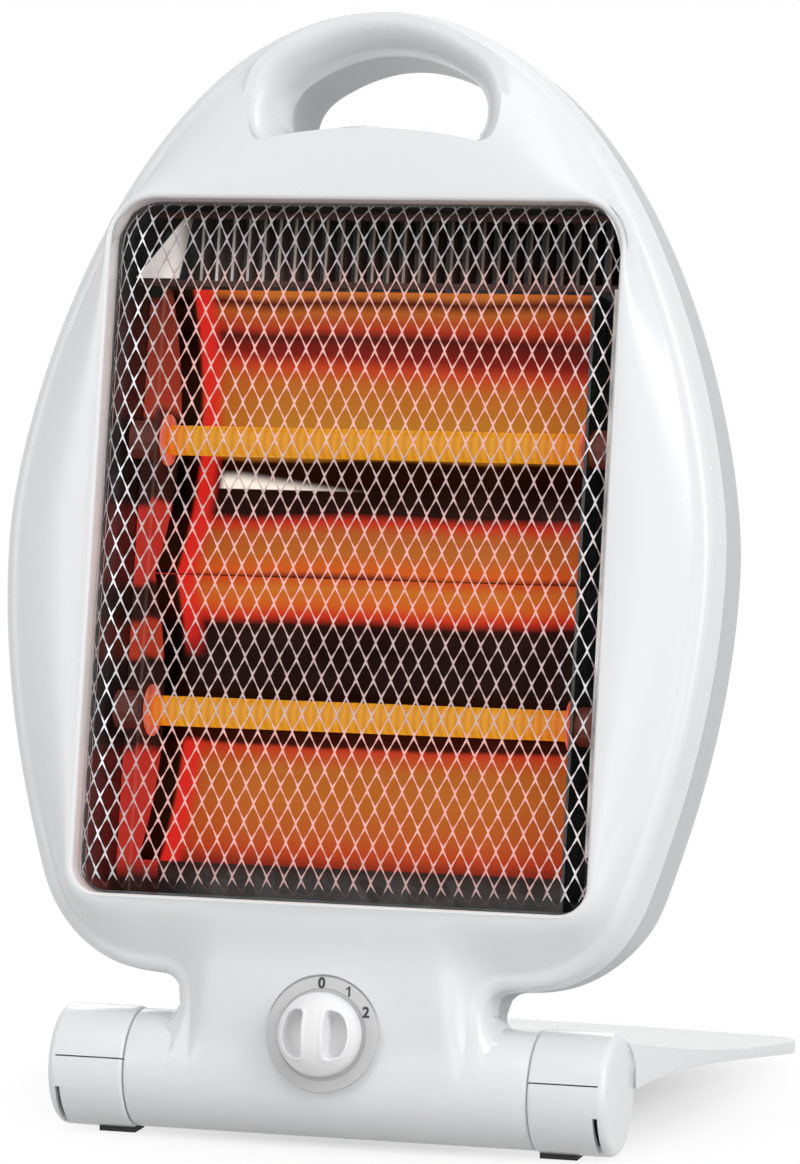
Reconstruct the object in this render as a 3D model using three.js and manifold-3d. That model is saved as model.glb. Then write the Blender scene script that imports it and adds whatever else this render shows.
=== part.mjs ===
// A portable electric heater with two quartz tubes: an egg-shaped head with a carrying slot,
// which tilts on a stand between two drums. Millimetres, +Z up, the grille faces -Y.
// The origin is the middle of the model's box, on the floor.
import * as THREE from "three";
import { mergeVertices } from "three/addons/utils/BufferGeometryUtils.js";
import Module from "manifold-3d";

const wasm = await Module();
wasm.setup();

// ---------------------------------------------------------------- driving dimensions

const GAP = 0.3; // between neighbours that touch on the real heater
const WALL = 2.2; // moulded plastic
const SHEET = 1.0; // sheet metal
const FAR = 60; // past every surface that a cutting block or rod goes through

// Hinge line: the barrel belongs to the head, the two drums at its ends to the stand.
const LEAN = THREE.MathUtils.degToRad(11.25);
const BARREL_R = 18.7;
const BARREL_HALF = 65.8;
const DRUM_R = 19.3;
const DRUM_LENGTH = 25;
const DRUM_SPLIT = THREE.MathUtils.degToRad(18); // the drum's parting plane falls to the rear
const JOURNAL_R = 11.5;
const JOURNAL_WALL = 2.5;
const WASHER_R = 15;
const WASHER_THICK = 2;
const SPRING_THICK = 1.2;
const NUT_THICK = 4;
const JOURNAL_FLANGE_R = 14.5;
const JOURNAL_FLANGE = 3;
const BARREL_SIDES = 28;
const WIRE_WAY_HALF = 30;
const WIRE_WAY_MARGIN = 4.7; // from the barrel's surface in to the way for the wires
const WIRE_WAY_DEPTH = BARREL_R - WIRE_WAY_MARGIN;
const WIRE_WAY_LOW_Z = 5;
const WIRE_WAY_HIGH_Z = 42;

// Head, in its own frame: the hinge line is X, the parting plane of the two shells is y = 0.
const HEAD_HALF_WIDTH = 116;
const HEAD_WIDEST_Z = 165;
const HEAD_TOP_Z = 338;
const HEAD_CORNER_Z = 62; // where the side turns into the bottom corner
const HEAD_CORNER_X = 98;
const HEAD_BOTTOM_Z = 30;
const HEAD_SHOULDER_Z = 213; // where the crown's curve leaves the side
const HEAD_SHOULDER_X = 80;
const NECK_HALF_WIDTH = 50;
const NECK_FILLET = 8;
const NECK_FOOT_Z = -8; // hidden inside the barrel
const NECK_SHARE = 0.82; // depth of the neck as a share of the body's
const FRONT_DEPTH = 28; // window rim in front of the parting plane
const EDGE_DEPTH = 20; // where the front face turns into the side
const REAR_DEPTH = 32;
const REAR_STRAIGHT = 20; // straight part of the rear shell's side
const EDGE_ROUND = 5;

// Window and what stands in it.
const WINDOW_WIDTH = 167;
const WINDOW_BOTTOM_Z = 54;
const WINDOW_TOP_Z = 275;
const WINDOW_R_TOP = 14;
const WINDOW_R_BOTTOM = 9;
const FLANGE_DEPTH = 13; // how far the window's wall runs back
const FLANGE_WALL = 1.8;
const GUARD_SETBACK = 3; // guard behind the window rim
const GUARD_THICK = 1;
const GUARD_RIM = 2;
const GUARD_COLUMNS = 9;
const GUARD_ROWS = 6;
const GUARD_STRAND = 1.5;

// Handle slot through the top.
const SLOT_HALF_WIDTH = 34;
const SLOT_TOP_Z = 326;
const SLOT_BOTTOM_Z = 302;
const SLOT_END_TOP_Z = 313;
const SLOT_END_BOTTOM_Z = 298;
const SLOT_END_R = [6, 8]; // how far its lower and upper corners reach in
const SLOT_END_RISE = 5;
const SCOOP_WIDTH = 6;
const SCOOP_FLOOR_Y = -11; // where the scooped rim ends and the straight slot begins

// Heating unit.
const CASE_SPARE = 2; // what the case is deeper than the rear shell
const CASE_DEPTH = REAR_DEPTH + CASE_SPARE; // sheet case from its front edge to its back
const CASE_MARGIN = 2.2; // case wall outside the window's edge
const CASE_HOLES = 9; // air holes in its top wall
const CASE_HOLE = [8, 4];
const CASE_HOLE_Y = 4;
const TUBE_Z = [200.8, 113.7]; // upper and lower quartz tube
const TUBE_NAMES = ["upper", "lower"];
const TUBE_R = 4.8;
const TUBE_WALL = 1.1;
const TUBE_Y = 0;
const END_PLATE_INSET = 13; // from the window's edge
const END_PLATE_X = WINDOW_WIDTH / 2 - END_PLATE_INSET; // inner face of the sheet that carries the tubes
const END_PLATE_FRONT = -8;
const TUBE_PROUD = 4; // past each bracket, into its cap
const CAP_R = 6.2;
const CAP_LENGTH = 9;
const CAP_BOTTOM = 3;
const CAP_PIN_R = 1.2;
const CAP_PIN_PROUD = 1.6;
const COIL_TURNS = 14;
const COIL_R = 2.4;
const COIL_MARGIN = 7; // straight wire inside each bracket
const WIRE_R = 0.45;
const REFLECTOR_SEAM_Z = 157.5;
const REFLECTOR_HALF = 46; // half height of one trough
const REFLECTOR_DEPTH = 17;
const REFLECTOR_SPACE = 20; // the case's depth less the reflector's place
const REFLECTOR_BACK = CASE_DEPTH - REFLECTOR_SPACE;
const REFLECTOR_LIP = 3;
const BAFFLE_Y = REFLECTOR_BACK - REFLECTOR_DEPTH;
const BAFFLE_HEIGHT = 20;
const BAFFLE_SLOTS = 15;
const BAFFLE_SLOT_WIDTH = 4.6;

const CUTOUT_X = 30;
const CUTOUT_R = [7, 5.5]; // its disc and its body
const CUTOUT_LENGTH = [3, 7, 9]; // to the end of its disc, body and tags

// Rear shell.
const LOUVRE_PITCH = 10;
const LOUVRE_HEIGHT = 3.6;
const LOUVRE_RIB_HALF = 5; // the rib left between the two columns of slots
const LOUVRE_BLOCKS = [
  { z: 200, rows: 7, halfWidth: 58 },
  { z: 84, rows: 5, halfWidth: 58 },
];
const SCREW_POSTS = [
  [102, 172],
  [58, 288],
  [68, 41.5],
];
const POST_R = 4.6;
const SCREW_HEAD_R = 3;
const SCREW_SINK = 5;
const GLAND_Z = 40;
const GLAND_R = 4.6;
const GLAND_BORE_R = 3.4;
const GLAND_FLANGE_R = 6.6;
const GLAND_PROUD = 4;
const GLAND_LENGTH = 6; // inside the shell
const GLAND_SEAT = REAR_DEPTH + GAP;
const TERMINAL_SIZE = [30, 8.6, 12];
const TERMINAL_GROOVE = 1.6;
const TERMINAL_BASE = 2.5;
const TERMINAL_BORE_R = 1.8;
const TERMINAL_X = -45;
const TERMINAL_Z = 64;

// Dial, knob and switch.
const DIAL_Z = 13.4;
const DIAL_R = 18.1;
const DIAL_THICK = 1.6;
const DIAL_SEAT_DEPTH = 20.4; // front of the flat seat moulded on the neck
const DIAL_BORE_R = 5;
const KNOB_R = 13.3;
const KNOB_HEIGHT = 11;
const KNOB_SKIRT = 2.5;
const GRIP_HALF = 3.2; // half width of the bar between the finger recesses
const RECESS_WIDTH = 5.6;
const RECESS_HALF_HEIGHT = 7.6;
const RECESS_FLOOR = 3; // above the knob's back
const KNOB_BORE = 5.5;
const SHAFT_R = 2.8;
const SWITCH_SIZE = [24, 13, 19];
const BUSH_LENGTH = 4; // from the barrel's wall back to the switch's body
const BUSH_WALL = 2;
const TAG_LENGTH = 3;

// Tip-over switch inside the barrel.
const TIP_X = -40;
const TIP_SIZE = [18, 22, 21.9];
const TIP_TOP_Z = 10;
const TIP_WALL = 1.4;
const TIP_PIVOT_Z = 6.5;
const PENDULUM_LENGTH = 10;
const PENDULUM_R = 3;
const PENDULUM_WIDTH = 8;
const PENDULUM_BORE_R = 1.7;
const PENDULUM_EYE_WALL = 1.4;
const PENDULUM_PIN_R = 1.3;

// Stand.
const DECK_START = [6, 15.6]; // top of an arm where it leaves the drum, as y and z
const DECK_BEND = [104, -7];
const DECK_TIP_Z = -14.8;
const SKIRT_START_Z = -1.2; // lower edge of an arm where it leaves the drum
const SKIRT_HANDLES = [
  [60, -0.2],
  [95, -7],
];
const ARM_WALL = 3;
const ARM_FLARE = 18; // each arm leans out this much by its tip
const ARM_TIP_Y = 183;
const PLATE_FRONT_Y = 50;
const PLATE_REAR_Y = 200;
const BEYOND_REAR_Y = PLATE_REAR_Y + 5; // where the stand's side profile ends
const PLATE_THICK = 3;
const PLATE_CORNER = 12;
const FOOT_HEIGHT = 1.2; // what a rubber foot stands proud
const FOOT_SINK = 0.9;
const FOOT_BOSS_TOP_Z = -15.5;
const COVER_POST_X = 82;
const COVER_POST_R = 4.2;
const FRONT_FOOT_X = 72.5;
const SLIT_WIDTH = 1.8; // the slit in a drum's cover, in its front outer edge
const SLIT_START = 9;
const SLIT_Z = [-17, -4];
const FRONT_FOOT = [12, 9];
const REAR_FOOT_R = 5;
const FOOT_BOSS_R = 6.6;
const REAR_FOOT_X = 88;
const REAR_FOOT_Y = 178;
const FLOOR_Z = -DRUM_R - FOOT_HEIGHT;

// ---------------------------------------------------------------- solids

function solid(geometry) {
  const bare = geometry.index ? geometry.toNonIndexed() : geometry.clone();
  bare.deleteAttribute("normal");
  bare.deleteAttribute("uv");
  const merged = mergeVertices(bare, 1e-4);
  const triVerts = new Uint32Array(merged.index.array);
  const made = () =>
    new wasm.Manifold(
      new wasm.Mesh({
        numProp: 3,
        vertProperties: merged.attributes.position.array,
        triVerts,
      }),
    );
  if (made().volume() >= 0) return made();
  for (let i = 0; i < triVerts.length; i += 3) {
    const first = triVerts[i];
    triVerts[i] = triVerts[i + 1];
    triVerts[i + 1] = first;
  }
  return made();
}

function geometryOf(body) {
  const mesh = body.getMesh();
  const geometry = new THREE.BufferGeometry();
  geometry.setAttribute("position", new THREE.BufferAttribute(mesh.vertProperties, 3));
  geometry.setIndex(new THREE.BufferAttribute(mesh.triVerts, 1));
  const flat = geometry.toNonIndexed();
  flat.computeVertexNormals();
  return flat;
}

const join = (first, ...others) => others.reduce((sum, body) => sum.add(body), first);
const cut = (first, ...others) => others.reduce((rest, body) => rest.subtract(body), first);

// What is drawn for the right side, or its mirror image for the left.
const mirrored = (side, body) => (side > 0 ? body : body.mirror([1, 0, 0]));
const bothSides = (body) => [body, body.mirror([1, 0, 0])];

function block(x0, x1, y0, y1, z0, z1) {
  const geometry = new THREE.BoxGeometry(x1 - x0, y1 - y0, z1 - z0);
  geometry.translate((x0 + x1) / 2, (y0 + y1) / 2, (z0 + z1) / 2);
  return solid(geometry);
}

// A cylinder whose axis is parallel to X, Y or Z, from one coordinate to another.
function rod(axis, radius, from, to, a = 0, b = 0, sides = 20) {
  const geometry = new THREE.CylinderGeometry(radius, radius, to - from, sides);
  geometry.translate(0, (from + to) / 2, 0);
  if (axis === "x") geometry.rotateZ(-Math.PI / 2).translate(0, a, b);
  if (axis === "y") geometry.translate(a, 0, b);
  if (axis === "z") geometry.rotateX(Math.PI / 2).translate(a, b, 0);
  return solid(geometry);
}

const pipe = (axis, outer, inner, from, to, a = 0, b = 0, sides = 20) =>
  cut(
    rod(axis, outer, from, to, a, b, sides),
    rod(axis, inner, from - 1, to + 1, a, b, sides),
  );

// A closed outline drawn in (y, z) and pushed along X.
function alongX(points, from, to) {
  const shape = new THREE.Shape(points.map(([y, z]) => new THREE.Vector2(y, z)));
  const geometry = new THREE.ExtrudeGeometry(shape, {
    depth: to - from,
    bevelEnabled: false,
  });
  const axes = new THREE.Matrix4().makeBasis(
    new THREE.Vector3(0, 1, 0),
    new THREE.Vector3(0, 0, 1),
    new THREE.Vector3(1, 0, 0),
  );
  geometry.applyMatrix4(axes);
  geometry.translate(from, 0, 0);
  return solid(geometry);
}

// A closed outline drawn in (x, z) and pushed along Y.
function alongY(points, from, to) {
  const shape = new THREE.Shape(points.map(([x, z]) => new THREE.Vector2(x, z)));
  const geometry = new THREE.ExtrudeGeometry(shape, {
    depth: to - from,
    bevelEnabled: false,
  });
  geometry.rotateX(Math.PI / 2);
  geometry.translate(0, to, 0);
  return solid(geometry);
}

// A closed outline drawn in (x, y) and pushed along Z.
function alongZ(points, from, to) {
  const shape = new THREE.Shape(points.map(([x, y]) => new THREE.Vector2(x, y)));
  const geometry = new THREE.ExtrudeGeometry(shape, {
    depth: to - from,
    bevelEnabled: false,
  });
  geometry.translate(0, 0, from);
  return solid(geometry);
}

// A skin over rings of points [x, y, z] of equal count, with flat ends.
function loft(rings) {
  const count = rings[0].length;
  const positions = rings.flat(2);
  const faces = [];
  for (let r = 0; r < rings.length - 1; r++)
    for (let i = 0; i < count; i++) {
      const a = r * count + i;
      const b = r * count + ((i + 1) % count);
      faces.push(a, b, b + count, a, b + count, a + count);
    }
  const ends = THREE.ShapeUtils.triangulateShape(
    rings[0].map(([x, , z]) => new THREE.Vector2(x, z)),
    [],
  );
  const far = THREE.ShapeUtils.triangulateShape(
    rings.at(-1).map(([x, , z]) => new THREE.Vector2(x, z)),
    [],
  );
  const last = (rings.length - 1) * count;
  for (const [a, b, c] of ends) faces.push(a, c, b);
  for (const [a, b, c] of far) faces.push(last + a, last + b, last + c);
  const geometry = new THREE.BufferGeometry();
  geometry.setAttribute("position", new THREE.Float32BufferAttribute(positions, 3));
  geometry.setIndex(faces);
  return solid(geometry);
}

// ---------------------------------------------------------------- outlines

const pairs = (path, steps) => path.getPoints(steps).map((p) => [p.x, p.y]);

// Moves every point of a counter-clockwise outline inwards along the bisector of its sides.
function inset(points, distance) {
  const count = points.length;
  return points.map(([x, z], i) => {
    const [px, pz] = points[(i + count - 1) % count];
    const [nx, nz] = points[(i + 1) % count];
    const before = new THREE.Vector2(x - px, z - pz).normalize();
    const after = new THREE.Vector2(nx - x, nz - z).normalize();
    const normal = new THREE.Vector2(-before.y - after.y, before.x + after.x);
    const stretch = 2 / normal.lengthSq();
    return [x + normal.x * stretch * distance, z + normal.y * stretch * distance];
  });
}

// The head seen from the front, counter-clockwise from the middle of the neck's foot.
// The offsets inside the curves are their handles, read from the photographed outline.
function headOutline() {
  const path = new THREE.Path();
  path.moveTo(0, NECK_FOOT_Z);
  path.lineTo(NECK_HALF_WIDTH / 2, NECK_FOOT_Z);
  path.lineTo(NECK_HALF_WIDTH, NECK_FOOT_Z);
  path.lineTo(NECK_HALF_WIDTH, (NECK_FOOT_Z + HEAD_BOTTOM_Z - NECK_FILLET) / 2);
  path.lineTo(NECK_HALF_WIDTH, HEAD_BOTTOM_Z - NECK_FILLET);
  const side = new THREE.Path();
  side.moveTo(NECK_HALF_WIDTH, HEAD_BOTTOM_Z - NECK_FILLET);
  side.quadraticCurveTo(
    NECK_HALF_WIDTH,
    HEAD_BOTTOM_Z,
    NECK_HALF_WIDTH + NECK_FILLET,
    HEAD_BOTTOM_Z,
  );
  const corner = new THREE.Path();
  corner.moveTo(NECK_HALF_WIDTH + NECK_FILLET, HEAD_BOTTOM_Z);
  corner.quadraticCurveTo(
    HEAD_CORNER_X - 10,
    HEAD_BOTTOM_Z + 1,
    HEAD_CORNER_X,
    HEAD_CORNER_Z,
  );
  corner.bezierCurveTo(
    HEAD_CORNER_X + 7,
    HEAD_CORNER_Z + 22,
    HEAD_HALF_WIDTH,
    HEAD_WIDEST_Z - 45,
    HEAD_HALF_WIDTH,
    HEAD_WIDEST_Z,
  );
  const crown = new THREE.Path();
  crown.moveTo(HEAD_HALF_WIDTH, HEAD_WIDEST_Z);
  crown.bezierCurveTo(
    HEAD_HALF_WIDTH,
    HEAD_SHOULDER_Z,
    HEAD_SHOULDER_X,
    HEAD_TOP_Z,
    0,
    HEAD_TOP_Z,
  );
  const half = [
    ...pairs(path, 1),
    ...pairs(side, 2).slice(1),
    ...pairs(corner, 4).slice(1),
    ...pairs(crown, 9).slice(1),
  ];
  const otherHalf = half
    .slice(1, -1)
    .reverse()
    .map(([x, z]) => [-x, z]);
  return [...half, ...otherHalf];
}

// The window, grown by a margin on all sides, counter-clockwise from its bottom right.
function windowOutline(margin = 0, steps = 4) {
  const halfWidth = WINDOW_WIDTH / 2 + margin;
  const low = WINDOW_BOTTOM_Z - margin;
  const high = WINDOW_TOP_Z + margin;
  const rLow = Math.max(WINDOW_R_BOTTOM + margin, 0.5);
  const rHigh = Math.max(WINDOW_R_TOP + margin, 0.5);
  const points = [];
  const arc = (cx, cz, r, from) => {
    for (let i = 0; i <= steps; i++) {
      const angle = from + (i * Math.PI) / 2 / steps;
      points.push([cx + r * Math.cos(angle), cz + r * Math.sin(angle)]);
    }
  };
  arc(halfWidth - rLow, low + rLow, rLow, -Math.PI / 2);
  arc(halfWidth - rHigh, high - rHigh, rHigh, 0);
  arc(-halfWidth + rHigh, high - rHigh, rHigh, Math.PI / 2);
  arc(-halfWidth + rLow, low + rLow, rLow, Math.PI);
  return points;
}

// Where the ray from the window's middle towards (x, z) leaves an outline.
function crossing(outline, x, z) {
  const cz = (WINDOW_BOTTOM_Z + WINDOW_TOP_Z) / 2;
  for (let i = 0; i < outline.length; i++) {
    const [ax, az] = outline[i];
    const [bx, bz] = outline[(i + 1) % outline.length];
    const ex = bx - ax;
    const ez = bz - az;
    const det = x * ez - (z - cz) * ex;
    const along = (ax * ez - (az - cz) * ex) / det;
    const at = ((z - cz) * ax - x * (az - cz)) / det;
    if (along > 0 && at >= -1e-9 && at <= 1 + 1e-9) return [x * along, cz + (z - cz) * along];
  }
  throw new Error("a ray from the window's middle misses the outline");
}

// The handle slot, grown by a margin: a bowed lower and upper edge joined by round ends.
function slotOutline(margin = 0) {
  const path = new THREE.Path();
  const w = SLOT_HALF_WIDTH + margin;
  const top = SLOT_TOP_Z + margin;
  const low = SLOT_BOTTOM_Z - margin;
  const endTop = SLOT_END_TOP_Z + margin * 0.6;
  const endLow = SLOT_END_BOTTOM_Z - margin;
  const [lowReach, highReach] = SLOT_END_R;
  const risen = endTop + SLOT_END_RISE;
  path.moveTo(-w + lowReach, endLow);
  path.quadraticCurveTo(0, 2 * low - endLow, w - lowReach, endLow);
  path.quadraticCurveTo(w, endLow, w, (endTop + endLow) / 2);
  path.quadraticCurveTo(w, endTop, w - highReach, risen);
  path.quadraticCurveTo(0, 2 * top - risen, -w + highReach, risen);
  path.quadraticCurveTo(-w, endTop, -w, (endTop + endLow) / 2);
  path.quadraticCurveTo(-w, endLow, -w + lowReach, endLow);
  return pairs(path, 3).slice(0, -1);
}

const ring = (outline, y) => outline.map(([x, z]) => [x, typeof y === "function" ? y(z) : y, z]);

// ---------------------------------------------------------------- head shells

// The neck draws back towards the barrel's surface below the body.
function neckShare(z) {
  const share = THREE.MathUtils.smoothstep(z, HEAD_BOTTOM_Z + 4, WINDOW_BOTTOM_Z + 2);
  return THREE.MathUtils.lerp(NECK_SHARE, 1, share);
}

// The front skin at a distance inwards from the outer surface.
function frontSkin(thickness) {
  const outline = inset(headOutline(), thickness);
  const rim = windowOutline(FLANGE_WALL + 2);
  const rounded = EDGE_ROUND - thickness;
  const rings = [ring(outline, thickness ? 1 : -GAP / 2)];
  const depth = (y) => (z) => -(y - thickness) * neckShare(z);
  rings.push(ring(outline, depth(EDGE_DEPTH - EDGE_ROUND)));
  for (const step of thickness ? [2] : [1, 2]) {
    const angle = (step * Math.PI) / 4;
    rings.push(
      ring(
        inset(outline, rounded * (1 - Math.cos(angle))),
        depth(EDGE_DEPTH - EDGE_ROUND * (1 - Math.sin(angle))),
      ),
    );
  }
  const edge = inset(outline, rounded);
  const inner = edge.map(([x, z]) => crossing(rim, x, z));
  for (const share of thickness ? [1] : [0.4, 1]) {
    const bulge = 1 - (1 - share) ** 2;
    const mixed = edge.map(([x, z], i) => [
      THREE.MathUtils.lerp(x, inner[i][0], share),
      THREE.MathUtils.lerp(z, inner[i][1], share),
    ]);
    rings.push(ring(mixed, depth(EDGE_DEPTH + (FRONT_DEPTH - EDGE_DEPTH) * bulge)));
  }
  return loft(rings);
}

function rearSkin(thickness) {
  const outline = inset(headOutline(), thickness);
  const rings = [ring(outline, thickness ? -1 : GAP / 2)];
  const depth = (y) => (z) => (y - thickness) * neckShare(z) * neckShare(z);
  rings.push(ring(outline, depth(REAR_STRAIGHT)));
  const rounded = REAR_DEPTH - REAR_STRAIGHT - 1;
  for (const step of thickness ? [2] : [1, 2, 3]) {
    const angle = (step * Math.PI) / 6;
    rings.push(
      ring(
        inset(outline, rounded * (1 - Math.cos(angle))),
        depth(REAR_STRAIGHT + (REAR_DEPTH - REAR_STRAIGHT) * Math.sin(angle)),
      ),
    );
  }
  const rim = windowOutline(-4);
  const inner = inset(outline, rounded).map(([x, z]) => crossing(rim, x, z));
  rings.push(ring(inner, depth(REAR_DEPTH)));
  return loft(rings);
}

// A tapered plug along Y whose outline is the slot grown by one margin here and another there.
const slotPlug = (marginA, yA, marginB, yB) =>
  loft([ring(slotOutline(marginA), yA), ring(slotOutline(marginB), yB)]);

function halfBarrel(side) {
  const flat = side * (GAP / 2);
  const [near, far] = side < 0 ? [-FAR, flat] : [flat, FAR];
  const half = block(-BARREL_HALF, BARREL_HALF, near, far, -FAR, FAR);
  const shell = pipe("x", BARREL_R, BARREL_R - WALL, -BARREL_HALF, BARREL_HALF, 0, 0, BARREL_SIDES);
  const ends = [-1, 1].map((end) => {
    const from = end < 0 ? -BARREL_HALF : BARREL_HALF - WALL;
    return pipe("x", BARREL_R - WALL / 2, JOURNAL_R + GAP, from, from + WALL, 0, 0, BARREL_SIDES);
  });
  return join(shell, ...ends).intersect(half);
}

const barrelInside = () =>
  rod("x", BARREL_R - WALL, -BARREL_HALF + WALL, BARREL_HALF - WALL, 0, 0, BARREL_SIDES);

// The way from the barrel up through the neck, for the wires and the switch.
const wireWay = () =>
  block(
    -WIRE_WAY_HALF,
    WIRE_WAY_HALF,
    -WIRE_WAY_DEPTH,
    WIRE_WAY_DEPTH,
    WIRE_WAY_LOW_Z,
    WIRE_WAY_HIGH_Z,
  );

// One rod along Y at each place where a screw holds the two shells together.
const screwRods = (radius, from, to) =>
  SCREW_POSTS.flatMap(([x, z]) =>
    [-1, 1].map((side) => rod("y", radius, from, to, side * x, z, 8)),
  );

function frontShell() {
  const flange = cut(
    alongY(windowOutline(FLANGE_WALL), -FRONT_DEPTH + WALL / 2, -FRONT_DEPTH + FLANGE_DEPTH),
    alongY(windowOutline(), -FAR, 0),
  );
  const collar = join(
    slotPlug(WALL, -GAP / 2, WALL, -EDGE_DEPTH),
    slotPlug(WALL, SCOOP_FLOOR_Y, SCOOP_WIDTH + WALL, -EDGE_DEPTH - 2),
  ).intersect(frontSkin(0));
  const scoop = slotPlug(0, SCOOP_FLOOR_Y, SCOOP_WIDTH + 4, -FRONT_DEPTH);
  const seat = rod("y", DIAL_R - 0.5, -DIAL_SEAT_DEPTH, -WIRE_WAY_DEPTH - 1, 0, DIAL_Z, 24);
  const posts = screwRods(POST_R, -FRONT_DEPTH, -GAP / 2).map((post) =>
    post.intersect(frontSkin(0)),
  );
  const skin = cut(frontSkin(0), frontSkin(WALL));
  const whole = join(
    cut(join(skin, seat), barrelInside()),
    halfBarrel(-1),
    flange,
    collar,
    ...posts,
  );
  return cut(
    whole,
    wireWay(),
    rod("y", DIAL_R + 2 * GAP, -FAR, -DIAL_SEAT_DEPTH, 0, DIAL_Z, 28),
    scoop,
    alongY(slotOutline(), -FAR, FAR),
    rod("y", SHAFT_R + GAP, -FAR, 0, 0, DIAL_Z, 24),
    alongY(windowOutline(), -FAR, FAR),
  );
}

// One block for each air slot in the rear shell.
function louvres() {
  const slots = [];
  for (const { z, rows, halfWidth } of LOUVRE_BLOCKS)
    for (let row = 0; row < rows; row++) {
      const low = z + row * LOUVRE_PITCH;
      const high = low + LOUVRE_HEIGHT;
      slots.push(block(LOUVRE_RIB_HALF, halfWidth, REAR_STRAIGHT, FAR, low, high));
      slots.push(block(-halfWidth, -LOUVRE_RIB_HALF, REAR_STRAIGHT, FAR, low, high));
    }
  return slots;
}

function rearShell() {
  const collar = slotPlug(WALL, GAP / 2, WALL, REAR_DEPTH).intersect(rearSkin(0));
  const posts = screwRods(POST_R, GAP / 2, REAR_DEPTH).map((post) =>
    post.intersect(rearSkin(0)),
  );
  const sinks = screwRods(SCREW_HEAD_R + GAP, REAR_STRAIGHT - SCREW_SINK, FAR);
  const skin = cut(rearSkin(0), rearSkin(WALL));
  const whole = join(cut(skin, barrelInside()), halfBarrel(1), collar, ...posts);
  return cut(
    whole,
    wireWay(),
    ...louvres(),
    ...sinks,
    alongY(slotOutline(), -FAR, FAR),
    rod("y", GLAND_R + GAP, 0, FAR, 0, GLAND_Z, 16),
  );
}

// ---------------------------------------------------------------- heating unit

// A flat net of diamond gaps inside a rim that follows the window.
function guardMesh() {
  const front = -FRONT_DEPTH + GUARD_SETBACK;
  const back = front + GUARD_THICK;
  const outer = windowOutline(-GAP, 3);
  const inner = windowOutline(-GAP - GUARD_RIM, 3);
  const rim = cut(alongY(outer, front, back + GUARD_THICK), alongY(inner, -FAR, FAR));
  const columnPitch = (WINDOW_WIDTH - 2 * GUARD_RIM) / GUARD_COLUMNS;
  const rowPitch = (WINDOW_TOP_Z - WINDOW_BOTTOM_Z - 2 * GUARD_RIM) / GUARD_ROWS;
  const strand = (GUARD_STRAND * Math.hypot(columnPitch, rowPitch)) / 2;
  const halfWidth = columnPitch / 2 - strand / rowPitch;
  const halfHeight = rowPitch / 2 - strand / columnPitch;
  const shapes = [];
  for (let row = 0; row <= 2 * GUARD_ROWS; row++)
    for (let column = row % 2; column <= 2 * GUARD_COLUMNS; column += 2) {
      const x = -WINDOW_WIDTH / 2 + GUARD_RIM + (column * columnPitch) / 2;
      const z = WINDOW_BOTTOM_Z + GUARD_RIM + (row * rowPitch) / 2;
      const corners = [
        [x - halfWidth, z],
        [x, z - halfHeight],
        [x + halfWidth, z],
        [x, z + halfHeight],
      ];
      shapes.push(new THREE.Shape(corners.map(([cx, cz]) => new THREE.Vector2(cx, cz))));
    }
  const gaps = new THREE.ExtrudeGeometry(shapes, { depth: 2 * FAR, bevelEnabled: false });
  gaps.rotateX(Math.PI / 2);
  gaps.translate(0, FAR, 0);
  const net = cut(alongY(inner, front, back), solid(gaps).intersect(alongY(inner, -FAR, FAR)));
  return join(rim, net);
}

const CASE_FRONT = -FRONT_DEPTH + FLANGE_DEPTH + GAP;
const CASE_BACK = CASE_FRONT + CASE_DEPTH;
const CASE_INNER_X = WINDOW_WIDTH / 2 + CASE_MARGIN - SHEET;
const CASE_INNER_LOW = WINDOW_BOTTOM_Z - CASE_MARGIN + SHEET;
const CASE_INNER_HIGH = WINDOW_TOP_Z + CASE_MARGIN - SHEET;

// A folded sheet tray, open to the front, with air holes in its top wall.
function heaterCase() {
  const tray = cut(
    alongY(windowOutline(CASE_MARGIN), CASE_FRONT, CASE_BACK),
    alongY(windowOutline(CASE_MARGIN - SHEET), CASE_FRONT - 1, CASE_BACK - SHEET),
  );
  const pitch = (2 * END_PLATE_X) / CASE_HOLES;
  const [across, deep] = CASE_HOLE;
  const holes = Array.from({ length: CASE_HOLES }, (_, i) => {
    const x = (i + 0.5) * pitch - END_PLATE_X;
    const high = CASE_INNER_HIGH + 2 * SHEET;
    return block(x - across / 2, x + across / 2, CASE_HOLE_Y, CASE_HOLE_Y + deep, high - 3 * SHEET, high);
  });
  return cut(tray, ...holes);
}

// What fits between the walls of the case, with its round corners.
const insideCase = () =>
  alongY(windowOutline(CASE_MARGIN - SHEET - GAP), CASE_FRONT - 5, CASE_BACK - SHEET - GAP);

// A bracket across the case that carries one end of both tubes.
function endPlate(side) {
  const hole = TUBE_R + GAP;
  const low = CASE_INNER_LOW + GAP;
  const high = REFLECTOR_SEAM_Z + 2 * REFLECTOR_HALF;
  const back = CASE_BACK - SHEET - GAP;
  const web = block(END_PLATE_X, END_PLATE_X + SHEET, END_PLATE_FRONT, back, low, high);
  const flange = block(END_PLATE_X, CASE_INNER_X - GAP, back - SHEET, back, low, high);
  const bores = TUBE_Z.map((z) => rod("x", hole, 0, CASE_INNER_X, TUBE_Y, z, 20));
  return mirrored(side, cut(join(web, flange).intersect(insideCase()), ...bores));
}

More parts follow.
